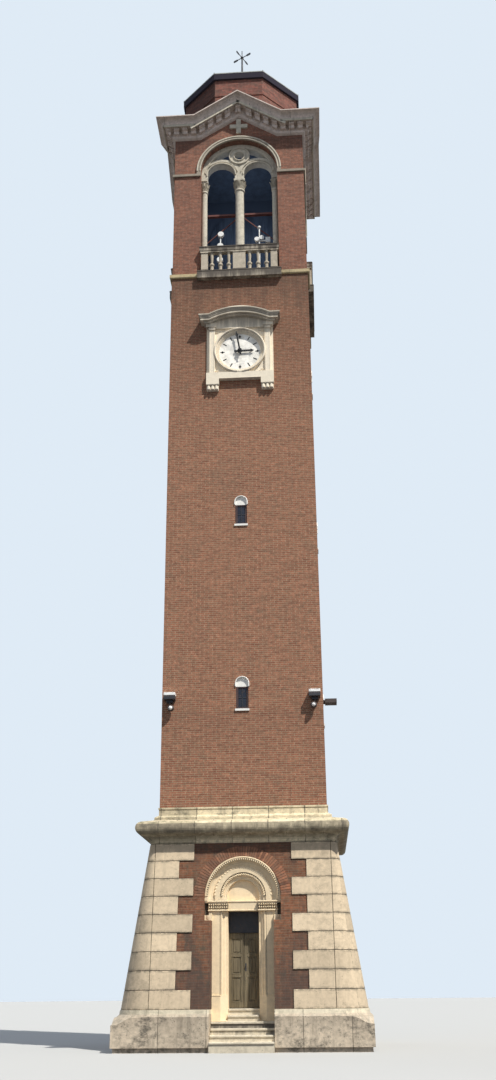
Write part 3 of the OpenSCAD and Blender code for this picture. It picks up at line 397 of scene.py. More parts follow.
@dataclass(frozen=True)
class Brickwork(Wall):
    """Fired brick in lime mortar, stained from its ledges down; it can carry painted shade on one side and
    inside a room.
    """

    light: Colour = (0.36, 0.155, 0.093)
    dark: Colour = (0.25, 0.104, 0.064)
    joint: Colour = (0.42, 0.315, 0.225)
    length: float = 0.26
    rise: float = 0.066
    joint_w: float = 0.0055
    blotches: float = 0.3
    streaks: float = 0.18
    fade_from: float = 18.0
    fade_to: float = 24.0
    fade_tone: float = 0.8
    stain: Colour = (0.10, 0.078, 0.062)
    bloom: Colour = (0.34, 0.26, 0.2)
    bloom_share: float = 0.35
    mottle: float = 0.55
    # Painted shade: inside this half-width the brick takes a dark blue-grey tone standing in for the shade of
    # the room.
    shaded_room_half: float = 0.0
    room_shade_tone: Colour = (0.10, 0.125, 0.165)
    # Painted shade: brick beyond this X, on the shaded side, is darkened by the factor below.
    shade_side_x: float = -90.0
    painted_shade_tone: float = 1.0

    def build(self) -> bpy.types.Material:
        """Build the material.

        Returns:
            The material of the finish.
        """
        material, sheet, shader = self.start()
        laid = Groups.put(sheet, "courses", {"Light Tone": self.light, "Dark Tone": self.dark,
                                             "Joint Tone": self.joint, "Length": self.length,
                                             "Rise": self.rise, "Joint": self.joint_w})
        aged = Groups.put(sheet, "weather", {
            "Color": laid.outputs["Color"], "Dirt Tone": self.stain, "Lichen Tone": self.bloom,
            "Mottle": self.mottle, "Blotches": self.blotches, "Streaks": self.streaks, "Underside": 0.15,
            "Lichen": self.bloom_share, "Pits": 0.35, "Pit Size": 2.0, "Edge": laid.outputs["Edge"],
            "Edge Dirt": 0.25})
        axes = sheet.put("ShaderNodeSeparateXYZ", {0: sheet.place()}).outputs
        colour = sheet.shaded(self.sooted(sheet, aged.outputs["Color"]),
                              sheet.fade(axes[2], self.fade_from, self.fade_to, 1.0, self.fade_tone))
        # Painted shade: darken the brick on the shaded side.
        if self.painted_shade_tone < 1.0:
            colour = sheet.shaded(colour, sheet.fade(axes[0], self.shade_side_x - 0.04, self.shade_side_x + 0.02,
                                                     self.painted_shade_tone, 1.0))
        # Painted shade: brick inside the room turns dark blue-grey.
        if self.shaded_room_half:
            reach = sheet.maths("MAXIMUM", sheet.maths("ABSOLUTE", axes[0]), sheet.maths("ABSOLUTE", axes[1]))
            colour = sheet.blend(sheet.maths("LESS_THAN", reach, self.shaded_room_half), colour, self.room_shade_tone)
        sheet.tree.links.new(colour, shader.inputs["Base Color"])
        relief = sheet.maths("MULTIPLY_ADD", aged.outputs["Height"], 0.3, laid.outputs["Height"])
        self.emboss(sheet, shader, relief)
        return material


@dataclass(frozen=True)
class Masonry(Wall):
    """Limestone in large blocks with thin dark joints, weathered."""

    tone: Colour = (0.64, 0.55, 0.39)
    joint: Colour = (0.16, 0.13, 0.10)
    dirt: Colour = (0.12, 0.11, 0.09)
    lichen: Colour = (0.40, 0.36, 0.20)
    length: float = 40.0
    rise: float = 40.0
    joint_w: float = 0.005
    shift: float = 7.0
    lift: float = 20.0
    variation: float = 0.12
    mottle: float = 0.25
    blotches: float = 0.25
    streaks: float = 0.25
    underside: float = 0.3
    growth: float = 0.25
    pits: float = 0.4
    pit_size: float = 1.0
    bleed: float = 0.03
    edge_dirt: float = 0.5

    def build(self) -> bpy.types.Material:
        """Build the material.

        Returns:
            The material of the finish.
        """
        material, sheet, shader = self.start()
        light = tuple(c * (1 + self.variation) for c in self.tone)
        dark = tuple(c * (1 - self.variation) for c in self.tone)
        laid = Groups.put(sheet, "courses", {
            "Light Tone": light, "Dark Tone": dark, "Joint Tone": self.joint, "Length": self.length,
            "Rise": self.rise, "Joint": self.joint_w, "Shift": self.shift, "Lift": self.lift,
            "Bleed": self.bleed})
        aged = Groups.put(sheet, "weather", {
            "Color": laid.outputs["Color"], "Dirt Tone": self.dirt, "Lichen Tone": self.lichen,
            "Mottle": self.mottle, "Blotches": self.blotches, "Streaks": self.streaks,
            "Underside": self.underside, "Lichen": self.growth, "Pits": self.pits, "Pit Size": self.pit_size,
            "Edge": laid.outputs["Edge"], "Edge Dirt": self.edge_dirt})
        sheet.tree.links.new(self.sooted(sheet, aged.outputs["Color"]), shader.inputs["Base Color"])
        relief = sheet.maths("MULTIPLY_ADD", aged.outputs["Height"], 0.8, laid.outputs["Height"])
        self.emboss(sheet, shader, relief)
        return material


@dataclass(frozen=True)
class Voussoirs(Finish):
    """Bricks set round an arch, each with its own tone, on plain Y faces."""

    light: Colour = (0.34, 0.165, 0.095)
    dark: Colour = (0.19, 0.088, 0.056)
    red: Colour = (0.42, 0.13, 0.06)
    stain: Colour = (0.09, 0.07, 0.055)
    bloom: Colour = (0.36, 0.28, 0.2)

    def build(self) -> bpy.types.Material:
        """Build the material.

        Returns:
            The material of the finish.
        """
        material, sheet, shader = self.start()
        axes = sheet.put("ShaderNodeSeparateXYZ", {0: sheet.place()}).outputs
        angle = sheet.maths("ARCTAN2", sheet.maths("SUBTRACT", axes[2], ARCH_Z), axes[0])
        number = sheet.maths("FLOOR", sheet.maths("MULTIPLY", angle, ARCH_BRICKS / math.pi))
        chance = sheet.put("ShaderNodeTexWhiteNoise", {"W": number}, noise_dimensions="1D").outputs["Value"]
        warm = sheet.blend(chance, self.dark, self.light)
        right = sheet.fade(axes[0], 0.5, 1.2, 0.0, 0.35)
        share = sheet.maths("MULTIPLY", right, sheet.fade(chance, 0.4, 0.8))
        toned = sheet.blend(share, warm, self.red)
        aged = Groups.put(sheet, "weather", {
            "Color": toned, "Dirt Tone": self.stain, "Lichen Tone": self.bloom,
            "Mottle": 0.5, "Blotches": 0.45, "Streaks": 0.1, "Underside": 0.1, "Lichen": 0.5, "Pits": 0.4,
            "Pit Size": 1.5})
        sheet.tree.links.new(aged.outputs["Color"], shader.inputs["Base Color"])
        self.emboss(sheet, shader, aged.outputs["Height"])
        return material


@dataclass(frozen=True)
class PaintedMetal(Finish):
    """Dull painted sheet or iron with worn and rusty patches."""

    tone: Colour = (0.06, 0.06, 0.065)
    worn: Colour = (0.16, 0.09, 0.05)
    wear: float = 0.3
    rough: float = 0.5
    relief: float = 0.25
    relief_depth: float = 0.002
    grain: float = 14.0

    def build(self) -> bpy.types.Material:
        """Build the material.

        Returns:
            The material of the finish.
        """
        material, sheet, shader = self.start()
        place = sheet.place()
        cloud = sheet.noise(place, self.grain * 0.3, 5.0, 0.65)
        speck = sheet.noise(place, self.grain, 6.0, 0.7)
        patch = sheet.maths("MULTIPLY", sheet.fade(speck, 0.5, 0.68), self.wear)
        toned = sheet.shaded(self.tone, sheet.fade(cloud, 0.3, 0.7, 0.8, 1.2))
        sheet.tree.links.new(sheet.blend(patch, toned, self.worn), shader.inputs["Base Color"])
        sheet.tree.links.new(sheet.fade(cloud, 0.3, 0.7, self.rough - 0.1, self.rough + 0.15),
                             shader.inputs["Roughness"])
        self.emboss(sheet, shader, speck)
        return material


@dataclass(frozen=True)
class OldWood(Finish):
    """Oiled door boards with upright grain and worn edges."""

    tone: Colour = (0.20, 0.17, 0.10)
    dark: Colour = (0.09, 0.075, 0.05)
    rough: float = 0.6
    relief: float = 0.5
    relief_depth: float = 0.002

    def build(self) -> bpy.types.Material:
        """Build the material.

        Returns:
            The material of the finish.
        """
        material, sheet, shader = self.start()
        place = sheet.place()
        grain = sheet.noise(sheet.stretched(place, (60.0, 60.0, 2.5)), 1.0, 6.0, 0.65)
        boards = sheet.noise(sheet.stretched(place, (7.0, 7.0, 0.5)), 1.0, 3.0, 0.5)
        base = sheet.blend(sheet.fade(grain, 0.35, 0.7), self.tone, self.dark)
        toned = sheet.shaded(base, sheet.fade(boards, 0.3, 0.7, 0.8, 1.25))
        sheet.tree.links.new(toned, shader.inputs["Base Color"])
        sheet.tree.links.new(sheet.fade(grain, 0.3, 0.7, 0.5, 0.8), shader.inputs["Roughness"])
        self.emboss(sheet, shader, grain)
        return material


FINISHES = {made.name: made for made in (
    Brickwork("shaft_brick", light=(0.345, 0.150, 0.089), dark=(0.245, 0.102, 0.062),
              joint=(0.47, 0.36, 0.245), bloom=(0.43, 0.32, 0.19), bloom_share=0.42, fade_tone=0.75,
              soot=((25.2, 1.6, 0.3), (9.3, 1.1, 0.10))),
    Brickwork("base_brick", light=(0.25, 0.102, 0.053), dark=(0.15, 0.062, 0.036), joint=(0.22, 0.15, 0.10),
              blotches=0.9, streaks=0.4, stain=(0.080, 0.062, 0.042), bloom=(0.36, 0.285, 0.19),
              bloom_share=0.28, mottle=0.6, soot=((5.41, 0.7, 0.45), (1.0, -2.4, 0.65))),
    # The bell stage's brick carries painted shade inside the room.
    Brickwork("belfry_brick", light=(0.35, 0.142, 0.088), dark=(0.235, 0.092, 0.062),
              joint=(0.36, 0.265, 0.195), blotches=0.3, fade_from=20.0, fade_to=25.0, fade_tone=0.86,
              soot=((31.6, 0.8, 0.35),), shaded_room_half=1.82),
    # The drum's left side is darkened as painted shade.
    Brickwork("drum_brick", light=(0.33, 0.115, 0.082), dark=(0.17, 0.062, 0.050), joint=(0.20, 0.15, 0.12),
              blotches=0.55, fade_tone=0.88, shade_side_x=-0.935, painted_shade_tone=0.40),
    Voussoirs("arch_brick"),
    Masonry("quoin_stone", tone=(0.665, 0.535, 0.375), length=5.0, rise=0.48556, shift=2.5, lift=-1.04,
            joint_w=0.0, variation=0.14, mottle=0.16, blotches=0.26, streaks=0.22, growth=0.10, bleed=0.09,
            edge_dirt=0.7, pits=0.9, soot=((5.35, 0.35, 0.25), (1.0, -1.9, 0.14))),
    Masonry("quoin_joint", tone=(0.085, 0.072, 0.052), variation=0.0, growth=0.0, edge_dirt=0.0),
    Masonry("plinth_stone", tone=(0.565, 0.47, 0.355), dirt=(0.06, 0.055, 0.045), length=1.28, rise=3.0,
            shift=0.30, lift=0.5, variation=0.2, joint_w=0.007, blotches=0.85, streaks=0.45, pits=2.0,
            mottle=0.35, pit_size=1.3, growth=0.45, lichen=(0.60, 0.54, 0.43), relief=0.8,
            relief_depth=0.012, soot=((0.95, 0.5, 0.2),)),
    Masonry("cap_stone", tone=(0.70, 0.62, 0.47), length=1.28, rise=3.0, shift=0.3, lift=0.5, blotches=0.4,
            streaks=0.2, underside=0.6, pits=0.5),
    Masonry("step_stone", tone=(0.66, 0.585, 0.455), blotches=0.3, streaks=0.25, pits=0.8, pit_size=1.4,
            growth=0.1, underside=0.6, soot=((0.72, 0.32, 0.8),)),
    Masonry("nosing_stone", tone=(0.72, 0.64, 0.50), variation=0.0, blotches=0.3, streaks=0.1,
            underside=0.5, growth=0.1, pits=0.4),
    Masonry("cornice_stone", tone=(0.68, 0.58, 0.40), length=1.05, rise=9.0, lift=4.0, shift=0.3,
            variation=0.22, joint_w=0.007, blotches=0.85, streaks=0.6, mottle=0.3, underside=0.7,
            growth=0.3, pits=1.0, edge_dirt=0.9, soot=((5.93, 0.30, 0.58), (6.12, 0.10, 0.3))),
    Masonry("portal_stone", tone=(0.91, 0.735, 0.495), variation=0.0, blotches=0.12, streaks=0.12,
            pits=0.15, mottle=0.12, underside=0.2, growth=0.1),
    Masonry("window_stone", tone=(0.90, 0.88, 0.83), variation=0.0, blotches=0.08, streaks=0.1, pits=0.1,
            mottle=0.1, underside=0.3, growth=0.0),
    OldWood("window_wood", tone=(0.085, 0.055, 0.055), dark=(0.05, 0.034, 0.036)),
    PaintedMetal("lamp_brown", tone=(0.085, 0.07, 0.066), worn=(0.05, 0.04, 0.04)),
    # Painted shade for the recesses between the portal's carvings.
    Masonry("portal_painted_shade", tone=(0.13, 0.11, 0.08), variation=0.0, growth=0.0),
    # Painted shade: the soot band darkens the frieze and the hood, and the blue-grey dirt tone darkens the
    # undersides most; both stand in for the shade under the hood.
    Masonry("clock_stone", tone=(0.90, 0.80, 0.64), variation=0.0, length=40.0, rise=60.0, shift=0.0,
            joint_w=0.006, blotches=0.08, streaks=0.06, pits=0.15, mottle=0.1, dirt=(0.21, 0.21, 0.235),
            underside=0.5, growth=0.05, soot=((23.56, 0.85, 0.5),)),
    Masonry("tracery_stone", tone=(0.63, 0.575, 0.47), variation=0.0, blotches=0.3, streaks=0.5, pits=0.35,
            underside=0.25, growth=0.1),
    Masonry("grey_stone", tone=(0.72, 0.61, 0.545), length=1.2, rise=9.0, lift=4.5, variation=0.08,
            blotches=0.4, streaks=0.35, underside=0.3, growth=0.25, lichen=(0.30, 0.27, 0.14)),
    # The hood mould and string course take a dark tone, partly grey weathering and partly painted shade on
    # the mould's underside.
    Masonry("hood_stone", tone=(0.33, 0.285, 0.23), variation=0.0, blotches=0.4, streaks=0.3, growth=0.2),
    # The two soot bands darken the rail and the slab with the wall under it; they are partly grime and partly
    # painted shade on the rail and under the slab.
    Masonry("balcony_stone", tone=(0.53, 0.46, 0.365), variation=0.0, blotches=0.35, streaks=0.35,
            underside=0.4, growth=0.4, lichen=(0.36, 0.33, 0.18),
            soot=((26.47, 0.34, 0.92), (25.42, 0.7, 0.85))),
    Masonry("ledge_stone", tone=(0.52, 0.425, 0.255), length=1.1, rise=9.0, lift=4.5, blotches=0.45,
            streaks=0.3, growth=0.8, lichen=(0.42, 0.33, 0.15)),
    # Painted shade: the louvres and the ceiling of the bell stage take dark blue-grey tones standing in for
    # the shade inside it.
    OldWood("louvre_wood", tone=(0.10, 0.125, 0.16), dark=(0.06, 0.075, 0.10), rough=0.8),
    PaintedMetal("ceiling_dark", tone=(0.09, 0.115, 0.15), worn=(0.07, 0.08, 0.1), rough=0.8),
    OldWood("door_wood", tone=(0.20, 0.165, 0.105), dark=(0.10, 0.082, 0.055)),
    PaintedMetal("dark_iron", tone=(0.045, 0.047, 0.055), wear=0.2),
    PaintedMetal("roof_sheet", tone=(0.030, 0.026, 0.040), worn=(0.05, 0.04, 0.045), grain=5.0, rough=0.75,
                 shine=0.1),
    # Painted highlight: pale tone of the drum's eave rim.
    PaintedMetal("eave_rim_highlight", tone=(0.42, 0.44, 0.42), worn=(0.2, 0.18, 0.15)),
    PaintedMetal("white_dial", tone=(0.93, 0.90, 0.83), worn=(0.6, 0.55, 0.48), wear=0.15, rough=0.4),
    PaintedMetal("hand_black", tone=(0.02, 0.02, 0.022), worn=(0.06, 0.045, 0.04)),
    PaintedMetal("lamp_white", tone=(0.86, 0.86, 0.84), worn=(0.6, 0.58, 0.55), wear=0.1),
    PaintedMetal("beam_red", tone=(0.16, 0.06, 0.05), worn=(0.09, 0.045, 0.04)),
    # Painted shade: dark tone of the window panes.
    PaintedMetal("window_dark", tone=(0.022, 0.028, 0.045), rough=0.3),
)}
BUILT: dict[str, bpy.types.Material] = {}


def finish(name: str) -> bpy.types.Material:
    """Return the material of a finish, built at its first use."""
    if name not in BUILT:
        BUILT[name] = FINISHES[name].build()
    return BUILT[name]


FINISH_NODES = {
    "plinth_stone": ("plinth_front_left", "plinth_front_right", "plinth_left", "plinth_right",
                     "plinth_back"),
    "cap_stone": ("plinth_cap",),
    "base_brick": ("base_wall_front_left", "base_wall_front_right", "base_wall_over_door", "base_wall_left",
                   "base_wall_right", "base_wall_back"),
    "quoin_joint": ("quoin_corners",),
    "step_stone": ("entrance_steps",),
    "portal_stone": ("portal_jamb_left", "portal_jamb_right", "portal_tympanum", "portal_arch"),
    "dark_iron": ("door_frame", "finial"),
    "door_wood": ("door_leaf_left", "door_leaf_right"),
    "grey_stone": ("ground_floor", "belfry_floor", "top_cornice"),
    "cornice_stone": ("base_cornice",),
    "shaft_brick": ("shaft_front", "shaft_back", "shaft_left", "shaft_right"),
    "window_stone": ("window_stones",),
    "clock_stone": ("clock_case",),
    "white_dial": ("clock_dial",),
    "hand_black": ("clock_hour_hand", "clock_minute_hand"),
    "lamp_brown": ("shaft_floodlights",),
    "ledge_stone": ("belfry_ledge",),
    "belfry_brick": ("belfry_front", "belfry_back", "belfry_left", "belfry_right"),
    "tracery_stone": ("tracery_front", "tracery_back", "tracery_left", "tracery_right", "gable_crosses"),
    "balcony_stone": ("balcony_front", "balcony_back", "balcony_left", "balcony_right"),
    "hood_stone": ("belfry_string",),
    "beam_red": ("bell_frame",),
    "louvre_wood": ("belfry_louvres",),
    "lamp_white": ("belfry_lamps",),
    "ceiling_dark": ("belfry_roof",),
    "drum_brick": ("drum",),
    "roof_sheet": ("drum_roof",),
}


# Mesh building


class Former:
    """Forms one piece of the tower from bmesh operators."""

    def __init__(self) -> None:
        """Start with an empty mesh."""
        self.bm = bmesh.new()

    def place(self, verts: Iterable[bmesh.types.BMVert], where: Matrix) -> None:
        """Move vertices by a matrix."""
        bmesh.ops.transform(self.bm, matrix=where, verts=list(verts))

    def block(self, low: Sequence[float], high: Sequence[float], soft: float = 0.0,
              where: Matrix | None = None) -> None:
        """Add a box between two corners.

        Args:
            low: Lowest corner.
            high: Highest corner.
            soft: Width of the bevel on its edges.
            where: Matrix that places the box.
        """
        size = [h - l for l, h in zip(low, high)]
        middle = Vector([(l + h) / 2 for l, h in zip(low, high)])
        made = bmesh.ops.create_cube(self.bm, size=1.0)["verts"]
        self.place(made, Matrix.Translation(middle) @ Matrix.Diagonal((*size, 1.0)))
        if soft:
            edges = list(dict.fromkeys(e for v in made for e in v.link_edges))
            faces = bmesh.ops.bevel(self.bm, geom=edges, offset=soft, segments=1, profile=0.5, affect="EDGES",
                                    material=-1)["faces"]
            made = dict.fromkeys(v for f in faces for v in f.verts)
        if where is not None:
            self.place(made, where)

    def bar(self, section: Sequence[Point], start: float, end: float, where: Matrix) -> None:
        """Add a straight moulding.

        Args:
            section: Corners of the section, in local Y and Z.
            start: Local X of one end.
            end: Local X of the other end.
            where: Matrix from the local axes to the part's.
        """
        verts = [self.bm.verts.new((start, y, z)) for y, z in section]
        cap = self.bm.faces.new(verts)
        grown = bmesh.ops.extrude_face_region(self.bm, geom=[cap], use_keep_orig=True)["geom"]
        moved = [g for g in grown if isinstance(g, bmesh.types.BMVert)]
        bmesh.ops.translate(self.bm, verts=moved, vec=(end - start, 0.0, 0.0))
        self.place(verts + moved, where)

    def hoop(self, section: Sequence[Point], start: float, end: float, steps: int, where: Matrix) -> None:
        """Add a round moulding in the local XZ plane, seen from local -Y.

        Args:
            section: Corners of the section as radius and local Y.
            start: Angle of one end from local +X, in degrees.
            end: Angle of the other end.
            steps: Number of steps on the way.
            where: Matrix from the local axes to the part's.
        """
        first = Matrix.Rotation(-math.radians(start), 4, "Y")
        ring = [self.bm.verts.new(first @ Vector((r, y, 0.0))) for r, y in section]
        edges = [self.bm.edges.new((a, b)) for a, b in zip(ring, ring[1:] + ring[:1])]
        self.spin(ring, edges, (0, -1, 0), math.radians(end - start), steps, where)

    def spin(self, line: list[bmesh.types.BMVert], edges: list[bmesh.types.BMEdge], axis: Point3,
             angle: float, steps: int, where: Matrix) -> None:
        """Spin a line about an axis through the origin and close its open ends.

        Args:
            line: Vertices of the line.
            edges: Edges of the line.
            axis: Direction of the axis.
            angle: Angle of the spin in radians.
            steps: Number of steps on the way.
            where: Matrix from the local axes to the part's.
        """
        before = set(self.bm.verts)
        bmesh.ops.spin(self.bm, geom=line + edges, cent=(0, 0, 0), axis=axis, angle=angle, steps=steps,
                       use_merge=abs(angle) > FULL_TURN)
        made = [v for v in self.bm.verts if v not in before] + [v for v in line if v.is_valid]
        own = set(made)
        rims = [e for e in self.bm.edges if e.is_boundary and e.verts[0] in own]
        if rims:
            bmesh.ops.holes_fill(self.bm, edges=rims, sides=0)
        self.place(made, where)

    def lathe(self, outline: Sequence[Point], where: Matrix, steps: int = 24) -> None:
        """Add a turned form round local Z, closed at both ends.

        Args:
            outline: Radii and heights of the form.
            where: Matrix from the local axes to the part's.
            steps: Number of steps round it.
        """
        line = [self.bm.verts.new((r, 0.0, z)) for r, z in outline]
        edges = [self.bm.edges.new((a, b)) for a, b in zip(line, line[1:])]
        self.spin(line, edges, (0, 0, 1), math.tau, steps, where)

    def knob(self, size: Point3, where: Matrix, fine: int = 2) -> None:
        """Add an egg-shaped knob of a width, depth and height."""
        bmesh.ops.create_icosphere(self.bm, subdivisions=fine, radius=0.5,
                                   matrix=where @ Matrix.Diagonal((*size, 1.0)))

    def leaf(self, width: float, height: float, out: float, where: Matrix) -> None:
        """Add a carved leaf that stands up from local Z 0, bends out to local -Y and curls down at its tip.

        It is a folded sheet with a front and a back in the same place.

        Args:
            width: Width at its broadest.
            height: Height at its highest.
            out: How far it bends out.
            where: Matrix from the local axes to the part's.
        """
        last = len(LEAF_ROWS) - 1
        made = bmesh.ops.create_grid(self.bm, x_segments=2, y_segments=last, size=0.5)["verts"]
        for vert in made:
            across = round(2.0 * vert.co.x)
            rise, spread, lean = LEAF_ROWS[round((vert.co.y + 0.5) * last)]
            fold = 0.2 if across else -0.12
            vert.co = (across * width / 2 * spread, out * (fold - lean), rise * height)
        faces = list(dict.fromkeys(f for v in made for f in v.link_faces))
        back = bmesh.ops.solidify(self.bm, geom=faces, thickness=0.0)["geom"]
        made += [g for g in back if isinstance(g, bmesh.types.BMVert)]
        self.place(dict.fromkeys(made), where)

    def on_sides(self) -> None:
        """Repeat all of the mesh on the four sides, then take away the pattern it was made from."""
        pattern = list(self.bm.verts) + list(self.bm.edges) + list(self.bm.faces)
        for turn in SIDE_TURNS:
            copy = bmesh.ops.duplicate(self.bm, geom=pattern)["geom"]
            verts = [g for g in copy if isinstance(g, bmesh.types.BMVert)]
            bmesh.ops.rotate(self.bm, cent=(0, 0, 0), matrix=Matrix.Rotation(turn * math.pi / 2, 3, "Z"),
                             verts=verts)
        bmesh.ops.delete(self.bm, geom=[g for g in pattern if isinstance(g, bmesh.types.BMVert)],
                         context="VERTS")

    def mirrored(self) -> None:
        """Add the mirror image of all of the mesh over the plane X 0."""
        both = list(self.bm.verts) + list(self.bm.edges) + list(self.bm.faces)
        copy = bmesh.ops.duplicate(self.bm, geom=both)["geom"]
        verts = [g for g in copy if isinstance(g, bmesh.types.BMVert)]
        bmesh.ops.scale(self.bm, vec=(-1.0, 1.0, 1.0), verts=verts)

    def hand_over(self, name: str, finish_name: str, slot: Slot, body: Body = Body.TOWER,
                  crease: float = 32.0, smooth: bool = True) -> None:
        """Make the object, dress it and let it ride.

        Args:
            name: Name of the piece.
            finish_name: Finish of its surface.
            slot: Material slot of the record; not used.
            body: Body it rides on.
            crease: Angle in degrees from which an edge is sharp.
            smooth: Whether the faces are shaded smooth.
        """
        bmesh.ops.recalc_face_normals(self.bm, faces=list(self.bm.faces))
        mesh = bpy.data.meshes.new(name)
        self.bm.to_mesh(mesh)
        self.bm.free()
        if smooth:
            mesh.shade_smooth()
            mesh.set_sharp_from_angle(angle=math.radians(crease))
        piece = bpy.data.objects.new(name, mesh)
        bpy.context.scene.collection.objects.link(piece)
        mesh.materials.append(finish(finish_name))
        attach(piece, body.value)
        LOG.info("%s: %d faces", name, len(mesh.polygons))


def shift(x: float = 0.0, y: float = 0.0, z: float = 0.0) -> Matrix:
    """Return a plain move."""
    return Matrix.Translation((x, y, z))


def turned(degrees: float, axis: str) -> Matrix:
    """Return a turn about an axis through the origin."""
    return Matrix.Rotation(math.radians(degrees), 4, axis)


def round_section(radius: float, thick: float, y: float, sides: int = 8) -> list[Point]:
    """Return a round section for a hoop, at a radius from its middle and at a local Y."""
    return [(radius + thick * math.cos(math.tau * i / sides), y + thick * math.sin(math.tau * i / sides))
            for i in range(sides)]


# Sub-assemblies


@dataclass
class Base:
    """Battered base: the quoin stones and the brick ring over the portal."""

    cap_z: float
    head_z: float
    foot: float = 3.35
    foot_z: float = 1.045
    head: float = 2.66
    courses: int = 9
    joint: float = 0.014
    joint_x: float = 2.5
    edge: float = 0.007
    lift_off: float = 1.0022
    ring_in: float = 1.085
    ring_out: float = 1.36
    ring_back: float = 0.02
    ring_front: float = -0.009
    weld: float = 0.0002
    cut_reach: float = 0.00005

    @property
    def batter(self) -> float:
        """Return how far the wall leans in for each metre up."""
        return (self.foot - self.head) / (self.head_z - self.foot_z)

    def face_y(self, z: float) -> float:
        """Return the Y of the front wall at a height."""
        return -(self.foot - self.batter * (z - self.foot_z))

    def cut(self, solid: bmesh.types.BMesh, spot: Point3, way: Point3) -> list[bmesh.types.BMEdge]:
        """Cut away what lies past a plane.

        Args:
            solid: Mesh to cut.
            spot: Point on the plane.
            way: Direction of what goes.

        Returns:
            The edges of the cut.
        """
        all_of_it = list(solid.verts) + list(solid.edges) + list(solid.faces)
        made = bmesh.ops.bisect_plane(solid, geom=all_of_it, dist=self.cut_reach, plane_co=spot, plane_no=way,
                                      clear_outer=True)["geom_cut"]
        return [g for g in made if isinstance(g, bmesh.types.BMEdge)]

    def stone(self, form: Former, corner: bmesh.types.BMesh,
              planes: Sequence[tuple[Point3, Point3]]) -> None:
        """Cut one stone out of the corner's solid and soften its edges.

        Args:
            form: Former to add it to.
            corner: Solid of one corner.
            planes: A point and an outward direction of each cut.
        """
        block = corner.copy()
        for spot, way in planes:
            bmesh.ops.holes_fill(block, edges=self.cut(block, spot, way), sides=0)
        sharp = [e for e in block.edges if e.is_manifold and e.calc_face_angle(0.0) > 0.5]
        bmesh.ops.bevel(block, geom=sharp, offset=self.edge, segments=1, profile=0.5, affect="EDGES",
                        material=-1)
        mesh = bpy.data.meshes.new("stone")
        block.to_mesh(mesh)
        block.free()
        form.bm.from_mesh(mesh)
        bpy.data.meshes.remove(mesh)

    def corner(self) -> bmesh.types.BMesh:
        """Take one corner of the quoins' solid as a clean mesh.

        Returns:
            The corner on the side of -X and -Y.
        """
        corner = bmesh.new()
        corner.from_mesh(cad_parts["quoin_corners"].data)
        bmesh.ops.remove_doubles(corner, verts=list(corner.verts), dist=self.weld)
        bmesh.ops.dissolve_limit(corner, angle_limit=math.radians(1.0), verts=list(corner.verts),
                                 edges=list(corner.edges))
        self.cut(corner, (0, 0, 0), (1, 0, 0))
        self.cut(corner, (0, 0, 0), (0, 1, 0))
        return corner

    def quoins(self) -> None:
        """Lay the quoin stones just proud of their solid, which stays behind them as the dark joints."""
        form, corner = Former(), self.corner()
        rise = (self.head_z - self.cap_z) / self.courses
        near, far = self.joint / 2 - self.joint_x, -self.joint / 2 - self.joint_x
        left, front = ((far, 0, 0), (1, 0, 0)), ((0, far, 0), (0, 1, 0))
        inward, backward = ((near, 0, 0), (-1, 0, 0)), ((0, near, 0), (0, -1, 0))
        for i in range(self.courses):
            low, high = self.cap_z + rise * i + self.joint / 2, self.cap_z + rise * (i + 1) - self.joint / 2
            level = (((0, 0, high), (0, 0, 1)), ((0, 0, low), (0, 0, -1)))
            for sides in ((left, front), (inward, front), (left, backward)):
                self.stone(form, corner, (*level, *sides))
        corner.free()
        bmesh.ops.scale(form.bm, vec=(self.lift_off, self.lift_off, 1.0), verts=list(form.bm.verts))
        form.on_sides()
        form.hand_over("quoin_stones", "quoin_stone", Slot.STONE, crease=20.0)

    def brick_ring(self) -> None:
        """Set the brick voussoirs round the portal's arch, in the plane of the battered wall."""
        form = Former()
        step = 180.0 / ARCH_BRICKS
        gap = math.degrees(self.joint / self.ring_in)
        section = [(self.ring_in, self.ring_back), (self.ring_out, self.ring_back),
                   (self.ring_out, self.ring_front), (self.ring_in, self.ring_front)]
        for i in range(ARCH_BRICKS):
            form.hoop(section, i * step + gap / 2, (i + 1) * step - gap / 2, 1, Matrix())
        lean = Matrix.Identity(4)
        lean[1][2] = self.batter
        form.place(form.bm.verts, shift(y=self.face_y(ARCH_Z), z=ARCH_Z) @ lean)
        form.hand_over("portal_brick_ring", "arch_brick", Slot.BRICK, smooth=False)

    def build(self) -> None:
        """Build every piece of the base."""
        self.quoins()
        self.brick_ring()


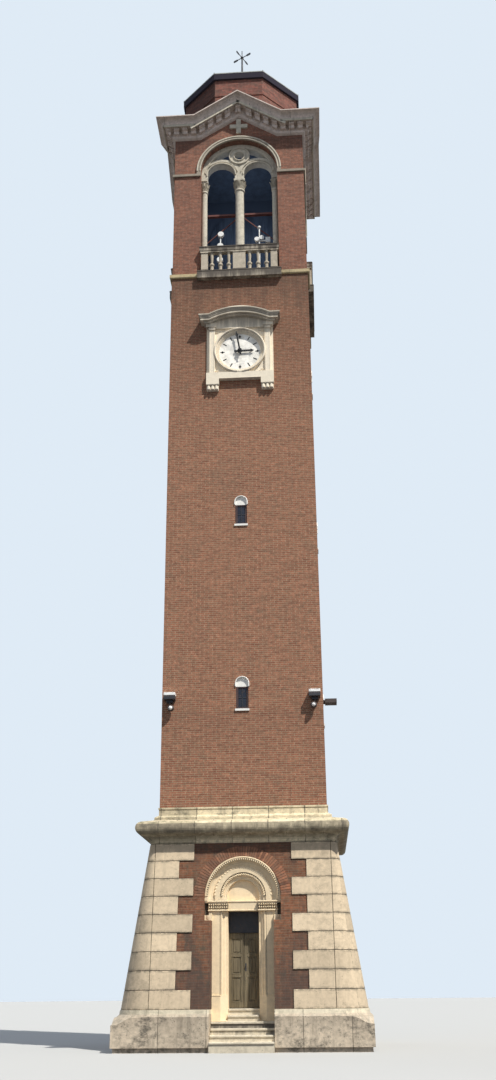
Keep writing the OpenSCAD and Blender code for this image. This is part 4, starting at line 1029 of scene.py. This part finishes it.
@dataclass
class Portal:
    """Carved work on the portal's arch and jambs, and the nosings of the steps."""

    rim_r: float = 1.07
    rim_y: float = -2.78
    jamb_y: float = -2.67
    wall_y: float = -2.30
    neck_y: float = -2.50
    flat_out: float = 0.795
    flat_in: float = 0.645
    rope_r: float = 0.598
    roll_r: float = 0.530
    tympanum_r: float = 0.45
    door_x: float = 0.43
    portal_x: float = 0.87
    capital_x: float = 0.975
    capital_out: float = 0.05
    capital_z: Point3 = (3.56, 3.77, 3.83)
    pedestal_foot: float = 0.731
    pedestal_top: float = 1.386
    jamb_rolls: tuple[Point3, ...] = ((0.606, 0.016, 0.026), (0.535, 0.066, 0.016), (0.452, 0.118, 0.020))
    arc_steps: int = 72
    lobes: int = 27
    dentils: int = 54
    rope_beads: int = 30
    teeth: int = 16
    leaves: int = 9
    side_leaves: int = 3
    first_rise: float = 0.26
    rise: float = 0.157
    tread: float = 0.225
    step_front: float = -3.62
    step_x: float = 0.86
    wide_steps: int = 4
    steps: int = 6

    def arc(self, form: Former, section: Sequence[Point]) -> None:
        """Run a section round the half circle of the arch."""
        form.hoop(section, 0, 180, self.arc_steps, shift(z=ARCH_Z))

    def spread(self, count: int) -> list[Matrix]:
        """Return evenly spread places round the half circle of the arch."""
        return [shift(z=ARCH_Z) @ turned(-180.0 * (i + 0.5) / count, "Y") for i in range(count)]

    def painted_shade_lines(self) -> None:
        """Lay the dark strips of painted shade in the recesses between the carvings: behind the rim's
        dentils, in the step at the inner edge of the flat ring, behind the capitals' leaves, in the cavities
        beside the capitals and in the grooves on the jambs.
        """
        form = Former()
        rim, flat, jamb = self.rim_r, self.flat_in, self.jamb_y
        low, high, _ = self.capital_z
        foot = self.pedestal_top
        self.arc(form, [(rim - 0.088, self.rim_y + 0.03), (rim - 0.080, self.rim_y - 0.003),
                        (rim - 0.048, self.rim_y - 0.003), (rim - 0.048, self.rim_y + 0.03)])
        self.arc(form, [(flat - 0.060, jamb + 0.075), (flat - 0.060, jamb + 0.046),
                        (flat - 0.012, jamb + 0.034), (flat + 0.003, jamb - 0.003),
                        (flat + 0.003, jamb + 0.075)])
        form.block((self.door_x - 0.003, jamb - self.capital_out - 0.003, low + 0.045),
                   (self.capital_x + 0.003, self.wall_y, high))
        form.block((self.capital_x + 0.002, jamb + 0.012, low - 0.115), (rim - 0.002, self.neck_y, high))
        form.block((flat - 0.007, jamb - 0.002, foot), (flat + 0.004, jamb + 0.04, low))
        form.block((flat - 0.011, jamb - 0.028, foot - 0.035), (flat + 0.005, jamb + 0.04, foot))
        form.mirrored()
        form.hand_over("portal_painted_shade_lines", "portal_painted_shade", Slot.STONE, smooth=False)

    def arch(self) -> None:
        """Add rolls, dentils, the lobed edge and the rope on the arch."""
        form = Former()
        for radius, thick, y in ((self.rim_r - 0.024, 0.026, self.rim_y + 0.004),
                                 (self.roll_r, 0.012, self.jamb_y + 0.082),
                                 (self.tympanum_r + 0.018, 0.018, self.jamb_y + 0.112)):
            self.arc(form, round_section(radius, thick, y))
        for spot in self.spread(self.dentils):
            form.block((self.rim_r - 0.086, self.rim_y - 0.018, -0.018),
                       (self.rim_r - 0.048, self.rim_y + 0.02, 0.018), where=spot)
        for spot in self.spread(self.lobes):
            form.knob((0.060, 0.036, 0.084), spot @ shift(self.flat_out, self.jamb_y + 0.008, 0))
        bead = shift(self.rope_r, self.jamb_y + 0.036, 0) @ turned(40, "Y")
        for spot in self.spread(self.rope_beads):
            form.knob((0.050, 0.056, 0.112), spot @ bead)
        form.hand_over("portal_arch_carving", "portal_stone", Slot.STONE)

    def leaf_row(self, form: Former, z: float, tall: float, lean: float) -> None:
        """Carve one row of leaves and bosses round a capital.

        Args:
            form: Former to add it to.
            z: Height of the leaves' feet.
            tall: Height of a leaf.
            lean: How far a leaf bends out.
        """
        front, inner, outer = self.jamb_y - self.capital_out, self.door_x, self.capital_x
        span = (outer - inner) / self.leaves
        for i in range(self.leaves):
            x = inner + span * (i + 0.5)
            form.knob((span * 0.86, 0.040, 0.044), shift(x, front - lean * 0.55, z + tall - 0.010), 1)
            form.leaf(span * 0.94, tall, lean, shift(x, front + 0.002, z) @ turned(8, "Y"))
        for i in range(self.side_leaves):
            for x, turn in ((outer - 0.002, 90), (inner + 0.002, -90)):
                form.leaf(0.058, tall, lean, shift(x, front + 0.055 + 0.075 * i, z) @ turned(turn, "Z"))

    def capitals(self) -> None:
        """Carve two rows of leaves and a row of dentils round each capital."""
        form = Former()
        low, high, top = self.capital_z
        jamb, inner, outer = self.jamb_y, self.door_x, self.capital_x
        front = jamb - self.capital_out
        form.block((inner - 0.012, jamb - 0.098, top - 0.040), (self.rim_r + 0.004, self.wall_y, top), 0.008)
        form.block((inner - 0.006, front - 0.012, low - 0.004), (outer + 0.008, self.wall_y, low + 0.034),
                   0.008)
        form.block((self.portal_x - 0.002, jamb - 0.028, low - 0.122),
                   (outer - 0.008, self.neck_y, low + 0.01), 0.010)
        for i in range(self.teeth):
            x = inner + (outer - inner) * (i + 0.5) / self.teeth
            form.block((x - 0.011, front - 0.020, high - 0.022), (x + 0.011, front + 0.01, high + 0.002))
        self.leaf_row(form, low + 0.030, 0.074, 0.030)
        self.leaf_row(form, low + 0.108, 0.070, 0.034)
        drop = shift(self.rim_r - 0.098, jamb - 0.03, low - 0.16) @ Matrix.Diagonal((1.0, 0.8, 1.0, 1.0))
        form.lathe([(0.0001, -0.095), (0.07, -0.09), (0.095, -0.05), (0.095, 0.05), (0.0001, 0.05)], drop, 20)
        form.mirrored()
        form.hand_over("portal_capital_leaves", "portal_stone", Slot.STONE)

    def jambs(self) -> None:
        """Add the rolls of the splayed jambs, the pedestals' caps and the band over the lintel."""
        form = Former()
        jamb, door, top = self.jamb_y, self.door_x, self.pedestal_top
        side = self.portal_x + 0.002
        head, _, spring = self.capital_z
        form.block((door + 0.19, jamb - 0.034, top - 0.022), (side, jamb + 0.05, top + 0.004), 0.006)
        for x, depth, thick in self.jamb_rolls:
            form.lathe([(thick, 0.0), (thick, head - top)], shift(x, jamb + depth, top), 14)
        form.block((door - 0.002, jamb - 0.050, self.pedestal_foot),
                   (side, jamb + 0.07, self.pedestal_foot + 0.03), 0.008)
        form.mirrored()
        form.block((-door, jamb + 0.010, spring - 0.035), (door, jamb + 0.06, spring), 0.006)
        form.block((-door, jamb + 0.018, head), (door, jamb + 0.05, head + 0.03), 0.006)
        form.hand_over("portal_jamb_rolls", "portal_stone", Slot.STONE)

    def nosings(self) -> None:
        """Add a worn nosing to each step."""
        form = Former()
        for i in range(self.steps):
            half = self.step_x if i < self.wide_steps else self.door_x
            y, top = self.step_front + i * self.tread, self.first_rise + i * self.rise
            form.block((-half, y - 0.028, top - 0.058), (half, y + 0.05, top + 0.003), 0.012)
        form.hand_over("step_nosings", "nosing_stone", Slot.STONE)

    def build(self) -> None:
        """Build every piece of the portal."""
        self.painted_shade_lines()
        self.arch()
        self.capitals()
        self.jambs()
        self.nosings()


@dataclass
class Doors:
    """Mouldings and furniture of the two door leaves, sized from the right one."""

    low: Vector
    high: Vector
    inner_stile: float = 0.080
    outer_stile: float = 0.070
    bead: float = 0.016
    lip: float = 0.004
    panel_set: float = 0.045
    panels: tuple[Point, ...] = ((0.150, 0.640), (0.860, 0.460), (1.390, 0.400))
    pull_x: float = 0.04
    pull_z: float = 2.13

    def panel(self, form: Former, foot: float, head: float) -> None:
        """Put a raised field and a bead round it on the right leaf.

        Args:
            form: Former to add it to.
            foot: Height of the panel's lower edge.
            head: Height of its upper edge.
        """
        face, lip, bead = self.low.y, self.lip, self.bead
        left, right = self.low.x + self.inner_stile, self.high.x - self.outer_stile
        for x_low, z_low, x_high, z_high in ((left - lip, foot - lip, left + bead, head + lip),
                                             (right - bead, foot - lip, right + lip, head + lip),
                                             (left - lip, foot - lip, right + lip, foot + bead),
                                             (left - lip, head - bead, right + lip, head + lip)):
            form.block((x_low, face - lip, z_low), (x_high, face + 0.016, z_high), 0.004)
        inset = self.panel_set
        form.block((left + inset, face + 0.004, foot + inset),
                   (right - inset, face + 0.017, head - inset), 0.011)

    def leaf(self, word: str, body: Body, flip: bool) -> None:
        """Dress one leaf.

        Args:
            word: Side that the piece's name ends with.
            body: Body of the leaf.
            flip: Whether the leaf is the mirror image of the right one.
        """
        form = Former()
        for rise, tall in self.panels:
            self.panel(form, self.low.z + rise, self.low.z + rise + tall)
        if flip:
            bmesh.ops.scale(form.bm, vec=(-1.0, 1.0, 1.0), verts=list(form.bm.verts))
        form.hand_over(f"door_mouldings_{word}", "door_wood", Slot.WOOD, body, smooth=False)

    def furniture(self) -> None:
        """Add the meeting bead on the left leaf and the pull on the right leaf."""
        face = self.low.y
        bead = Former()
        bead.block((-0.030, face - 0.014, self.low.z + 0.01),
                   (-0.004, face + 0.002, self.high.z - 0.008), 0.006)
        bead.hand_over("door_meeting_bead", "door_wood", Slot.WOOD, Body.LEFT_LEAF, smooth=False)
        pull = Former()
        x, z = self.pull_x, self.pull_z
        pull.block((x - 0.018, face - 0.005, z - 0.13), (x + 0.018, face + 0.001, z + 0.07), 0.002)
        pull.lathe([(0.0001, -0.052), (0.016, -0.050), (0.022, -0.040), (0.018, -0.028), (0.008, -0.022),
                    (0.008, 0.0), (0.0001, 0.0)], shift(x, face - 0.003, z) @ turned(-90, "X"), 16)
        pull.hand_over("door_pull", "dark_iron", Slot.IRON, Body.RIGHT_LEAF)

    def build(self) -> None:
        """Build every piece of the doors."""
        self.leaf("left", Body.LEFT_LEAF, True)
        self.leaf("right", Body.RIGHT_LEAF, False)
        self.furniture()


@dataclass
class Windows:
    """Wooden frames and panes in the small windows of the shaft, with a rim round each lunette."""

    first_z: float
    step: float = 6.1
    width: float = 0.38
    height: float = 0.69
    plane_y: float = -2.40
    lunette: float = 0.32
    rim_r: float = 0.218
    rim_x: float = 0.202
    front_rows: int = 2
    other_rows: int = 3
    frames: Former = field(default_factory=Former)
    bars: Former = field(default_factory=Former)
    panes: Former = field(default_factory=Former)
    rims: Former = field(default_factory=Former)

    def wood(self, spin: Matrix, z: float) -> None:
        """Put the frame, the crossing bars and the pane in one window.

        Args:
            spin: Turn to the window's side of the shaft.
            z: Height of its sill.
        """
        half, high, y = self.width / 2, self.height, self.plane_y
        left, right = 0.06 - half, half - 0.05
        for x_low, z_low, x_high, z_high in ((-half, 0.0, left + 0.01, high), (right - 0.01, 0.0, half, high),
                                             (left, 0.0, right, 0.05), (left, high - 0.04, right, high)):
            self.frames.block((x_low, y - 0.02, z + z_low), (x_high, y + 0.03, z + z_high), 0.006, spin)
        for x_low, z_low, x_high, z_high in ((-0.010, 0.04, 0.010, high - 0.03), (left, 0.34, right, 0.36)):
            self.bars.block((x_low, y - 0.008, z + z_low), (x_high, y + 0.014, z + z_high), 0.003, spin)
        # The pane is a dark opaque sheet; its dark blue-grey is painted shade standing in for the unlit room
        # behind the glass.
        self.panes.block((left, y + 0.004, z + 0.04), (right, y + 0.012, z + high - 0.03), 0.001, spin)

    def rim(self, spin: Matrix, z: float) -> None:
        """Put the rim round one lunette.

        Args:
            spin: Turn to the window's side of the shaft.
            z: Height of its sill.
        """
        head, y = z + self.height, SHAFT_Y
        centre = spin @ shift(z=head + self.lunette - self.rim_r)
        self.rims.hoop(round_section(self.rim_r - 0.016, 0.018, y - 0.026, 6), 0, 180, 28, centre)
        for x in (-self.rim_x, self.rim_x):
            self.rims.block((x - 0.018, y - 0.042, head - 0.002), (x + 0.018, y - 0.005, head + 0.105), 0.005,
                            spin)

    def build(self) -> None:
        """Dress every window and hand the shared pieces over."""
        for turn in SIDE_TURNS:
            spin = turned(90.0 * turn, "Z")
            for row in range(self.front_rows if turn == 0 else self.other_rows):
                self.wood(spin, self.first_z + row * self.step)
                self.rim(spin, self.first_z + row * self.step)
        self.frames.hand_over("window_frames", "window_wood", Slot.WOOD, smooth=False)
        self.bars.hand_over("window_bars", "dark_iron", Slot.IRON, smooth=False)
        self.panes.hand_over("window_panes", "window_dark", Slot.IRON, smooth=False)
        self.rims.hand_over("window_lunette_rims", "window_stone", Slot.STONE)


@dataclass
class Clock:
    """Marks, round mouldings, panel edges and scalloped feet of the clock."""

    centre_z: float
    dial_out: float = 0.025
    case_out: float = 0.15
    mark_r: float = 0.608
    cap_out: float = 0.174
    sleeve_out: float = 0.117
    mouldings_at: tuple[Point3, ...] = ((0.865, 0.024, 0.176), (0.800, 0.012, 0.115), (0.768, 0.012, 0.085),
                                        (0.736, 0.012, 0.055))
    ring_ends: Point = (-84.0, 264.0)
    full_turn_r: float = 0.85
    panel_half: float = 0.83
    fillet_x: Point = (0.895, 1.035)
    corner_x: float = 0.862
    foot_x: Point = (0.72, 1.16)
    foot_drop: float = 1.13
    foot_lobes: int = 3

    def marks(self) -> None:
        """Put the twelve hour marks on the dial, and the caps and the sleeve on its arbor."""
        form = Former()
        dial_y = SHAFT_Y - self.dial_out
        for hour in range(12):
            spot = shift(z=self.centre_z) @ turned(30.0 * hour, "Y") @ shift(0, dial_y, self.mark_r)
            if hour % 3 == 0:
                form.block((-0.036, -0.008, -0.036), (0.036, 0.004, 0.036), 0.002, spot @ turned(45, "Y"))
                form.block((-0.012, -0.008, -0.075), (0.012, 0.004, 0.075), 0.002, spot)
            else:
                form.block((-0.017, -0.008, -0.072), (0.017, 0.004, 0.072), 0.002, spot)
        boss = [(0.0001, -0.006), (0.060, -0.006), (0.065, 0.004), (0.0001, 0.004)]
        cap = [(0.0001, -0.018), (0.030, -0.014), (0.042, -0.002), (0.042, 0.006), (0.0001, 0.006)]
        sleeve = [(0.029, -0.022), (0.034, -0.022), (0.034, 0.022), (0.029, 0.022)]
        for outline, y, steps in ((boss, dial_y, 32), (cap, SHAFT_Y - self.cap_out, 24),
                                  (sleeve, SHAFT_Y - self.sleeve_out, 24)):
            form.lathe(outline, shift(0, y, self.centre_z) @ turned(-90, "X"), steps)
        form.hand_over("clock_marks", "hand_black", Slot.HAND, smooth=False)

    def mouldings(self) -> None:
        """Add the rolls on the steps of the round frame; the outermost one ends at the hood."""
        form = Former()
        for radius, thick, out in self.mouldings_at:
            low, high = self.ring_ends if radius > self.full_turn_r else (0.0, 360.0)
            form.hoop(round_section(radius, thick, SHAFT_Y - out), low, high, 96, shift(z=self.centre_z))
        form.hand_over("clock_ring_mouldings", "clock_stone", Slot.STONE)

    def corner_edges(self, form: Former, front: float) -> None:
        """Add two short sunk edges in the upper and the lower corner of a spandrel.

        Args:
            form: Former to add them to.
            front: Y of the case's front.
        """
        for sign in (-1.0, 1.0):
            for i in range(2):
                z = self.centre_z + sign * (0.012 + 0.05 * i - self.panel_half)
                form.block((self.corner_x - 0.197 + 0.07 * i, front + 0.044, z - 0.008),
                           (self.corner_x, front + 0.075, z + 0.008), 0.003)

    def case(self) -> None:
        """Add pilaster fillets and caps, the scalloped feet, the corners' edges and the sill's fillet."""
        form = Former()
        front, foot = SHAFT_Y - self.case_out, self.centre_z - self.foot_drop
        top = self.centre_z + self.panel_half
        for x in self.fillet_x:
            form.block((x - 0.010, front - 0.010, foot + 0.26), (x + 0.010, front + 0.01, top), 0.004)
        low, high = self.foot_x
        lobe = [(0.0001, -0.062), (0.040, -0.056), (0.062, -0.030), (0.064, 0.0), (0.050, 0.11),
                (0.0001, 0.13)]
        for i in range(self.foot_lobes):
            form.lathe(lobe, shift(low + 0.085 + 0.135 * i, front + 0.052, foot - 0.36), 16)
        form.block((low + 0.01, front - 0.012, foot - 0.235), (high - 0.01, front + 0.02, foot - 0.203),
                   0.008)
        self.corner_edges(form, front)
        form.block((0.846, front - 0.045, top + 0.012), (1.084, front, top + 0.038), 0.008)
        form.mirrored()
        form.block((-low, front - 0.026, foot - 0.004), (low, front + 0.01, foot + 0.022), 0.006)
        form.hand_over("clock_case_details", "clock_stone", Slot.STONE)

    def build(self) -> None:
        """Build every piece of the clock."""
        self.marks()
        self.mouldings()
        self.case()


@dataclass
class Belfry:
    """Roll mouldings, carved capitals and rail mouldings of the bell stage."""

    floor_z: float
    spring_z: float = 30.05
    plane_y: float = -2.205
    bay_x: float = 0.69
    bay_r: float = 0.52
    eye_z: float = 30.94
    eye_radii: Point = (0.205, 0.375)
    ring_r: float = 1.285
    column_y: float = -2.04
    side_column_x: float = 1.325
    neck_z: float = 29.33
    rail_z: float = 1.07
    post_x: tuple[Point, ...] = ((-0.24, 0.24), (1.128, 1.392), (-1.392, -1.128))
    hood_r: float = 1.545
    hood_y: float = -2.515

    def rolls(self) -> None:
        """Add rolls round the small arches, the eye and the large ring."""
        form = Former()
        for side in (-1, 1):
            at = shift(side * self.bay_x, 0, self.spring_z)
            form.hoop(round_section(self.bay_r + 0.030, 0.028, self.plane_y), 0, 180, 40, at)
            form.hoop(round_section(self.bay_r + 0.115, 0.018, self.plane_y), 12, 168, 36, at)
        for radius, thick, steps in zip(self.eye_radii, (0.024, 0.026), (40, 56)):
            form.hoop(round_section(radius, thick, self.plane_y + 0.004), 0, 360, steps, shift(z=self.eye_z))
        form.hoop(round_section(self.ring_r, 0.026, self.plane_y + 0.015), 4, 176, 72, shift(z=self.spring_z))
        form.on_sides()
        form.hand_over("tracery_rolls", "tracery_stone", Slot.STONE)

    def capital(self, form: Former, x: float, radius: float, leaves: int) -> None:
        """Carve one capital: neck ring, two rows of leaves and corner curls.

        Args:
            form: Former to add it to.
            x: Place of the column on the front.
            radius: Radius of the column's neck.
            leaves: Number of leaves in a row.
        """
        at = shift(x, self.column_y, self.neck_z)
        form.lathe([(radius, -0.03), (radius + 0.02, -0.022), (radius + 0.026, 0.0), (radius + 0.02, 0.022),
                    (radius, 0.03)], at, 24)
        width = 1.25 * math.tau * radius / leaves
        for row, (z, lean) in enumerate(((0.05, 0.045), (0.20, 0.06))):
            foot = shift(0, -(radius + 0.004 + 0.02 * row), z)
            for i in range(leaves):
                form.leaf(width, 0.20, lean, at @ turned(360.0 * (i + 0.5 * row) / leaves, "Z") @ foot)
        for i in range(4):
            form.knob((0.072,) * 3, at @ turned(45 + 90 * i, "Z") @ shift(0, -(radius + 0.075), 0.40), 1)

    def capitals(self) -> None:
        """Carve the capitals on all sides."""
        form = Former()
        self.capital(form, 0.0, 0.172, 8)
        for side in (-1, 1):
            self.capital(form, side * self.side_column_x, 0.106, 6)
        form.on_sides()
        form.hand_over("belfry_capital_leaves", "tracery_stone", Slot.STONE)

    def rails(self) -> None:
        """Add mouldings to the rails and caps to the pedestals."""
        form = Former()
        floor = self.floor_z
        top = floor + self.rail_z
        form.block((-1.452, -2.646, top - 0.06), (1.452, -2.378, top - 0.022), 0.010)
        form.block((-1.40, -2.625, top - 0.205), (1.40, -2.40, top - 0.178), 0.008)
        for low, high in self.post_x:
            form.block((low, -2.626, top - 0.30), (high, -2.394, top - 0.262), 0.008)
            form.block((low, -2.626, floor), (high, -2.394, floor + 0.07), 0.010)
        form.block((-1.522, -2.662, floor - 0.05), (1.522, -2.44, floor - 0.004), 0.012)
        form.on_sides()
        form.hand_over("balcony_mouldings", "balcony_stone", Slot.GREY_STONE)

    def hood(self) -> None:
        """Add the outer fillet and the inner roll of the hood mould in pale stone; against the dark mould the
        pale outer fillet is a painted highlight on its upper edge.
        """
        form = Former()
        low, high, front = self.hood_r, self.hood_r + 0.047, self.hood_y
        form.hoop([(low, front), (high, front), (high, front + 0.045), (low, front + 0.045)], 0, 180, 72,
                  shift(z=self.spring_z))
        form.hoop(round_section(low - 0.083, 0.020, front + 0.019), 0, 180, 72, shift(z=self.spring_z))
        form.on_sides()
        form.hand_over("hood_mould_fillets", "tracery_stone", Slot.STONE)

    def build(self) -> None:
        """Build every piece of the belfry."""
        self.rolls()
        self.capitals()
        self.rails()
        self.hood()


@dataclass
class TopCornice:
    """Pale lip of the gabled cornice."""

    wall_y: float
    bed_z: float = 31.59
    lip_out: float = 0.442
    lip_z: Point = (0.328, 0.428)
    lip_depth: float = 0.04
    gable_x: float = 1.47
    pitch: float = 33.5
    overlap: float = 0.5

    def build(self) -> None:
        """Add the lip under the corona, level at the corners and raking up the gables."""
        form = Former()
        face = self.wall_y - self.lip_out
        low, high = self.lip_z
        section = [(face, low), (face, high), (face + self.lip_depth, high), (face + self.lip_depth, low)]
        lean = math.radians(self.pitch)
        back = self.overlap * math.tan(lean / 2)
        length = (self.gable_x + self.overlap * math.sin(lean)) / math.cos(lean)
        form.bar(section, face, -self.gable_x - back, shift(z=self.bed_z))
        form.bar(section, -back, length, shift(-self.gable_x, 0, self.bed_z) @ turned(-self.pitch, "Y"))
        form.mirrored()
        form.on_sides()
        form.hand_over("cornice_lip", "tracery_stone", Slot.STONE, smooth=False)


@dataclass
class Drum:
    """Rim and seams of the drum's roof."""

    half: float
    eave_z: float = 35.04
    pitch: float = 19.0
    sides: int = 8

    def rim(self) -> None:
        """Add the rim along the top of the eave; its pale tone is a painted highlight of sun on the gutter's
        edge against the dark roof.
        """
        form = Former()
        reach = self.half * math.tan(math.pi / self.sides)
        outer, inner, z = -self.half - 0.008, -self.half + 0.03, self.eave_z
        section = [(outer, z - 0.030), (outer, z + 0.010), (inner, z + 0.022), (inner, z - 0.030)]
        for i in range(self.sides):
            form.bar(section, -reach, reach, turned(360.0 * i / self.sides, "Z"))
        form.hand_over("drum_eave_rim", "eave_rim_highlight", Slot.ROOF, smooth=False)

    def seams(self) -> None:
        """Add standing seams on the hips of the roof."""
        form = Former()
        half_side = math.pi / self.sides
        corner = self.half / math.cos(half_side)
        angle = math.atan(math.tan(math.radians(self.pitch)) * math.cos(half_side))
        length = (corner - 0.13) / math.cos(angle)
        for i in range(self.sides):
            hip = turned(360.0 * (i + 0.5) / self.sides, "Z") @ shift(corner, 0, self.eave_z)
            form.block((0.0, -0.02, -0.005), (length, 0.02, 0.035), 0.006,
                       hip @ turned(180, "Z") @ turned(-math.degrees(angle), "Y"))
        form.hand_over("drum_roof_seams", "roof_sheet", Slot.ROOF, smooth=False)

    def build(self) -> None:
        """Build every piece of the drum."""
        self.rim()
        self.seams()


@dataclass
class Lamps:
    """White tops, globes, visors and brackets of the lamps on the shaft."""

    flood_x: float = 2.2
    flood_z: float = 9.77
    flood_out: float = 0.26
    top_half: float = 0.175

    def build(self) -> None:
        """Dress both lamps and hand their pieces over."""
        white, dark = Former(), Former()
        front, z = SHAFT_Y - self.flood_out, self.flood_z
        for side in (-1, 1):
            x, half = side * self.flood_x, self.top_half
            white.block((x - half, front - 0.008, z + 0.010), (x + half, SHAFT_Y, z + 0.097), 0.008)
            white.knob((0.12,) * 3, shift(x - 0.04 * side, SHAFT_Y - 0.222, z - 0.375))
            dark.block((x - half - 0.003, front - 0.012, z - 0.115),
                       (x + half + 0.003, front + 0.010, z - 0.02), 0.006)
            dark.block((x - 0.10, SHAFT_Y - 0.15, z - 0.20), (x + 0.10, SHAFT_Y, z - 0.11), 0.01)
        white.hand_over("floodlight_tops", "lamp_white", Slot.LAMP)
        dark.hand_over("floodlight_brackets", "dark_iron", Slot.LAMP)


# Studio


@dataclass(frozen=True)
class Studio:
    """Camera, lights, floor and background."""

    eye: Point3 = (2.221, -34.413, 1.455)
    lens: float = 35.91
    yaw: float = 3.583
    pitch: float = 22.773
    roll: float = -0.519
    sun_from: Point3 = (0.415, -0.4275, 0.804)
    sun_power: float = 4.5
    sun_colour: Colour = (1.0, 0.97, 0.905)
    fill_from: Point3 = (-0.65, 0.65, 0.4)
    fill_power: float = 0.25
    fill_colour: Colour = (0.95, 0.97, 1.0)
    inside: Point3 = (0.0, 0.0, 29.6)
    inside_power: float = 60.0
    inside_colour: Colour = (0.60, 0.74, 1.0)
    sky: float = 0.50
    sky_colour: Colour = (0.74, 0.84, 1.0)
    backdrop: Colour = (0.74, 0.83, 0.92)
    floor_r: float = 220.0
    floor_tone: Colour = (0.16, 0.155, 0.15)
    floor_seen: Colour = (0.50, 0.50, 0.49)

    def camera(self) -> None:
        """Set the camera where the photograph was taken from."""
        data = bpy.data.cameras.new("view")
        data.sensor_fit = "AUTO"
        data.sensor_width = 36.0
        data.lens = self.lens
        data.clip_end = 1000.0
        eye = bpy.data.objects.new("view", data)
        eye.matrix_world = shift(*self.eye) @ turned(self.yaw, "Z") @ turned(90 + self.pitch, "X") @ \
            turned(self.roll, "Z")
        bpy.context.scene.collection.objects.link(eye)
        bpy.context.scene.camera = eye

    def sun(self, name: str, origin: Point3, power: float, size: float, colour: Colour) -> None:
        """Add one sun lamp.

        Args:
            name: Name of the lamp.
            origin: Direction its light comes from.
            power: Strength.
            size: Apparent size in degrees.
            colour: Colour of its light.
        """
        data = bpy.data.lights.new(name, "SUN")
        data.energy = power
        data.angle = math.radians(size)
        data.color = colour
        lamp = bpy.data.objects.new(name, data)
        lamp.rotation_euler = Vector(origin).to_track_quat("Z", "Y").to_euler()
        bpy.context.scene.collection.objects.link(lamp)

    def glow(self) -> None:
        """Add the dim sky light that fills the bell stage."""
        data = bpy.data.lights.new("inner", "POINT")
        data.energy = self.inside_power
        data.shadow_soft_size = 1.0
        data.color = self.inside_colour
        lamp = bpy.data.objects.new("inner", data)
        lamp.location = self.inside
        bpy.context.scene.collection.objects.link(lamp)

    def world(self) -> None:
        """Light the scene from all round, with a pale backdrop for the camera."""
        world = bpy.data.worlds.new("studio")
        bpy.context.scene.world = world
        world.use_nodes = True
        sheet = NodeSheet(world.node_tree)
        back = world.node_tree.nodes["Background"]
        rays = sheet.put("ShaderNodeLightPath")
        seen = sheet.maths("MAXIMUM", rays.outputs["Is Camera Ray"],
                           sheet.maths("MAXIMUM", rays.outputs["Is Glossy Ray"],
                                       rays.outputs["Is Transmission Ray"]))
        world.node_tree.links.new(sheet.blend(seen, self.sky_colour, self.backdrop), back.inputs["Color"])
        world.node_tree.links.new(sheet.fade(seen, 0.0, 1.0, self.sky, 1.0), back.inputs["Strength"])

    def floor(self) -> None:
        """Lay a pale floor that keeps the tower's shadow."""
        form = bmesh.new()
        bmesh.ops.create_circle(form, cap_ends=True, segments=96, radius=self.floor_r)
        mesh = bpy.data.meshes.new("floor")
        form.to_mesh(mesh)
        form.free()
        material = bpy.data.materials.new("floor")
        material.use_nodes = True
        sheet = NodeSheet(material.node_tree)
        shader = material.node_tree.nodes["Principled BSDF"]
        shader.inputs["Roughness"].default_value = 0.95
        shader.inputs["Specular IOR Level"].default_value = 0.1
        rays = sheet.put("ShaderNodeLightPath")
        material.node_tree.links.new(
            sheet.blend(rays.outputs["Is Camera Ray"], self.floor_tone, self.floor_seen),
            shader.inputs["Base Color"])
        plane = bpy.data.objects.new("floor", mesh)
        mesh.materials.append(material)
        bpy.context.scene.collection.objects.link(plane)

    def build(self) -> None:
        """Set up the studio."""
        self.camera()
        self.sun("key", self.sun_from, self.sun_power, 1.2, self.sun_colour)
        self.sun("fill", self.fill_from, self.fill_power, 20.0, self.fill_colour)
        self.glow()
        self.world()
        self.floor()
        bpy.context.scene.view_settings.view_transform = "Standard"


def dress_solids() -> None:
    """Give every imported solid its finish."""
    for finish_name, names in FINISH_NODES.items():
        for name in names:
            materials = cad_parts[name].data.materials
            materials.clear()
            materials.append(finish(finish_name))


def sub_assemblies() -> tuple:
    """Place the sub-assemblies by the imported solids.

    Returns:
        The sub-assemblies in the order in which they are built.
    """
    quoins_low, quoins_high = solid_box("quoin_corners")
    dial_low, dial_high = solid_box("clock_dial")
    sill_z = solid_box("window_stones")[0].z + WINDOW_SILL
    return (Base(quoins_low.z, quoins_high.z), Portal(), Doors(*solid_box("door_leaf_right")),
            Windows(sill_z), Clock((dial_low.z + dial_high.z) / 2), Belfry(solid_box("belfry_floor")[1].z),
            TopCornice(solid_box("belfry_front")[0].y), Drum(solid_box("drum_roof")[1].x), Lamps())


def main() -> None:
    """Build the tower's looks in order."""
    logging.basicConfig(level=logging.INFO, format="%(message)s")
    Studio().build()
    dress_solids()
    for part in sub_assemblies():
        LOG.info("building %s", type(part).__name__)
        part.build()


if __name__ == "__main__":
    main()
